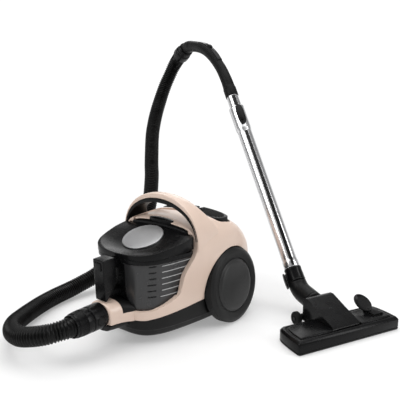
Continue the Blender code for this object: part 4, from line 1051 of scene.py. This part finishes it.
def add_wand():
    """Inner and outer tube, the track along the outer one, and the telescopic lock."""
    r, t = TUBE_INNER, TUBE_OUTER
    inner = [(r - 1, 90), (r, 90), (r, 492), (r - 1, 492)]
    piece("inner_chrome_tube", lathe(inner, WAND, 96), CHROME, "handle", "inner_tube")
    turns = [radians(72 + 3 * k) for k in range(13)]
    groove = [(d * cos(a) * 1.006, d * sin(a) * 1.006) for d, order in ((r, turns), (r - .6, turns[::-1]))
        for a in order]
    piece("inner_tube_groove", moved(column(groove, 120, 473), WAND), SATIN, "handle", "inner_tube")

    skin = [(t - 1.2, .5), (t + .3, .5), (t + 1.1, 1.4), (t + 1.1, 14), (t + .5, 18), (t, 22), (t, 366),
        (t + .5, 370), (t + 1.5, 375), (t + 1.8, 378), (t + 1.8, 436), (t + 2.2, 437), (t + 2.2, 439),
        (t + 1.6, 440), (t - 1.2, 440)]
    piece("outer_chrome_tube", lathe(skin, WAND, 128, 1.5), CHROME, "wand", "outer_tube")
    piece("track", moved(block(-4, 4, t - .6, t + 1.1, 19, 366), WAND), SATIN, "wand", "track_strip",
        bevel=.4)
    lift = WAND @ LAID
    foot = slab(oval(0, 14, 3.4, 11, 40, 3), t + 1.5, t - 1, (0, 14), [1, .9, .5])
    piece("track_foot", moved(foot, lift), SATIN, "wand", "track_strip")
    saddle = slab(oval(0, 410.5, 9.5, 26.5, 64, 3.4), crown(t + 9.6, .02, .0024, 410.5), t + 1.4,
        (0, 410.5))
    piece("lock_body", moved(saddle, lift), SATIN, "wand", "lock_saddle", bevel=1.2)
    slide = slab(oval(0, 405, 6, 13, 48, 3.2), crown(t + 13.4, .03, .006, 405), t + 9.9, (0, 405))
    piece("lock_thumb_pad", moved(slide, lift), GLOSS, "wand_lock", "lock_slider", bevel=1)
    rows = [[(x, y, t + 13 - .006 * (y - 405) ** 2) for x in (-3.8, 3.8)]
        for y in (398, 401.5, 405, 408.5, 412)]
    piece("lock_pad_ribs", moved(bars(rows, .6), lift), GLOSS, "wand_lock", "lock_slider")


# ---- floor head

def in_head(mesh, at=None):
    return moved(moved(mesh, at) if at else mesh, HEAD)


def head_ring(inset, z):
    half, deep = HEAD_LENGTH / 2, HEAD_DEPTH
    right = [(half - 5, 0), (half - 1.4, 1.4), (half, 5), (half, 34), (half - 2.6, 60), (half - 5, 72),
        (half - 9, 80), (half - 15, deep)]
    outline = [(-half, 5), (-half + 1.4, 1.4), (-half + 5, 0)] + right
    outline += [(-x, y) for x, y in right[:2:-1]]
    return [(x * (1 - inset / half), deep / 2 + (y - deep / 2) * (1 - 2 * inset / deep), z)
        for x, y in outline]


def head_layers(*rows):
    return in_head(loft([head_ring(inset, z) for inset, z in rows]))


def head_blocks(*boxes):
    return [in_head(block(*box)) for box in boxes]


def add_head():
    """Cover and sole of the floor head, and its two brush strips."""
    shell = head_layers((.8, 5.3), (0, 6.4), (0, 7.6), (0, 23.4), (.8, 25), (3.2, 28), (4.6, 28.9),
        (8, 29.4))
    lid = head_layers((13.2, 24), (13.2, 29.6), (14, 30.6), (16, 30.9))
    rooms = head_blocks((-124, 124, 6, 77, 0, 25), (-38.3, 38.3, 12, 130, 10, 60),
        (84, 114, 26, 64, 26.5, 50))
    piece("head_shell", shell, GLOSS, "head", "head_cover", bevel=.7,
        steps=[(head_layers((8.6, 28.3), (8.6, 40)), CUT), (lid, JOIN), *cuts(*rooms)])
    trim = head_layers((1.2, .4), (.3, 1.4), (0, 2.4), (0, 4.4), (.7, 5))
    mouths = head_blocks((-115, 115, 30, 44, -5, 20), (-122.3, 122.3, 13.7, 20.3, -5, 20),
        (-122.3, 122.3, 61.7, 68.3, -5, 20))
    piece("head_sole", trim, SATIN, "head", "sole_plate", bevel=.5, steps=cuts(*mouths))
    for name, y in (("front", 17), ("rear", 65)):
        body, node = "brush_" + name[0], "brush_strip_" + name
        tufts = []
        for x in [-119.5 + 239 * k / 59 for k in range(60)]:
            root = [(x + 1.3 * cos(a), y + 2.2 * sin(a), 4.6) for a in [2 * pi * i / 10 for i in range(10)]]
            tip = [(x + (px - x) * 1.25, y + (py - y) * 1.25, .3) for px, py, _ in root]
            tufts.append(loft([tip, root]))
        piece("bristles_" + name, in_head(joined(*tufts)), BRISTLE, body, node)
        piece("bristle_bar_" + name, in_head(block(-122, 122, y - 3, y + 3, 4.5, 7.5)), SATIN, body, node,
            bevel=.4)


def add_neck():
    """Neck wedge with its rollers, and the elbow round to the wand's socket."""
    side = [(16, 30.8), (20, 26), (40, 14), (60, 12), (100, 16), (121, 22), (121, 60.6), (116, 64),
        (106, 64.6), (62, 48), (20, 34)]
    duct = axis_frame((0, 48, 30), (0, 1, .17))
    rollers = [axis_frame((s * 50, 124, 15.5), (s, 0, 0)) for s in (1, -1)]
    steps = [(in_head(block(-36, 36, 108, 129, 10, 21.5)), JOIN)]
    steps += [(in_head(disc(4, -24, 7, at, 32)), JOIN) for at in rollers]
    piece("neck_block", in_head(prism_x(side, -36, 36)), GLOSS, "neck", "neck_wedge", bevel=2.2, segments=3,
        steps=steps + cuts(in_head(disc(17.3, 26, 100, duct))))
    tyre = [(4.3, -6.5), (12, -6.5), (15.5, -4), (15.5, 4), (12, 6.5), (8.6, 6.5), (8, 5.6), (4.3, 5.6)]
    for name, at in zip(("left", "right"), rollers):
        piece("neck_wheel_" + name, in_head(lathe(tyre, at, 96, 1.4)), RUBBER, "roller_" + name[0],
            "neck_roller_" + name)

    up = Vector((0, WAND_AXIS.dot(HEAD_Y), WAND_AXIS.z))
    along = Vector((0, 1, .17)).normalized()
    nose = [duct.translation + along * d for d in (50, 78.8, 79.6, 80.6, 84.4, 85.2, 86.2, 87, 90)]
    knees = [Vector((0, y, z)) for y, z in ((163.8, 49.7), (172.2, 52), (179.8, 55.6), (186.5, 60.6),
        (192.3, 67.1))]
    bend = smooth_curve([nose[-1]] + knees + [Vector((0, 213.9, 96)) + up * -33], 6)[1:]
    radii = [16.9, 16.9, 21.2, 22.4, 22.4, 21.2, 21.2, 22.4, 22.5]
    radii += [22.5 - 1.6 * (k / (len(bend) - 1)) ** 1.4 for k in range(len(bend))]
    piece("neck_elbow", in_head(swept(nose + bend, radii, 96, 2.4)), SATIN, "wand", "elbow", angle=40)
    cuff = [(14, -32.5), (20.4, -32.5), (21.2, -31.4), (21.2, -29.4), (20.7, -28.4), (19.9, -6),
        (20.4, -4.6), (20.4, -1.4), (19.6, 0), (16.4, .2), (16, 24), (14, 24)]
    piece("wand_socket", lathe(cuff, WAND, 128, .9), GLOSS, "wand", "neck_cuff")
    aside = WAND @ Matrix(((0, 0, 1, 0), (1, 0, 0, 0), (0, 1, 0, 0), (0, 0, 0, 1)))
    latch = slab(oval(0, -26.5, 6.5, 18.5, 64, 3.6), crown(28.8, .02, .004, -26.5), 24.3, (0, -26.5))
    piece("latch_seat", moved(block(17, 22.6, -5, 5, -42, -10), WAND), GLOSS, "wand", "neck_cuff", bevel=1)
    piece("socket_latch", moved(latch, aside), GLOSS, "clip", "wand_release_clip", bevel=1)


def add_floor_pedal():
    """Oval foot pedal on its rocking plate."""
    at = axis_frame((85, 63, 48.5), (-.25, -.62, .74), (-.3, .76, .6))
    dome = [(-2, .91), (-1.2, .965), (-.2, 1), (.4, 1), (1.2, .975), (1.7, .94), (2, .9), (1.8, .84),
        (1.2, .8), (1.15, .5)]
    pad = layers((oval(0, 0, 16.5 * s, 23.5 * s, 96), z) for z, s in dome)
    plate, stem = head_blocks((86, 112, 28, 62, 30.9, 34.5), (86.5, 97, 47, 60, 33, 40))
    piece("pedal_rocker", plate, GLOSS, "pedal", "floor_pedal", bevel=.8,
        steps=[(stem, JOIN), (in_head(pad, at), JOIN)])


for add in (add_body, add_top, add_rear_panel, add_wheels, add_caster, add_cup, add_lid, add_inlet,
        add_grip, add_wand, add_head, add_neck, add_floor_pedal):
    add()

# CAD nodes inside the canister stay, each with a material of its own
for name, material in (("filter_housing", SATIN), ("pre_motor_filter", FOAM), ("motor_housing", HOUSING),
        ("motor_core", COPPER), ("fan_impeller", STEEL), ("cord_reel", SATIN), ("axle_left", STEEL),
        ("axle_right", STEEL)):
    kept = frame["nodes"][name].data.materials
    kept.clear()
    kept.append(material)
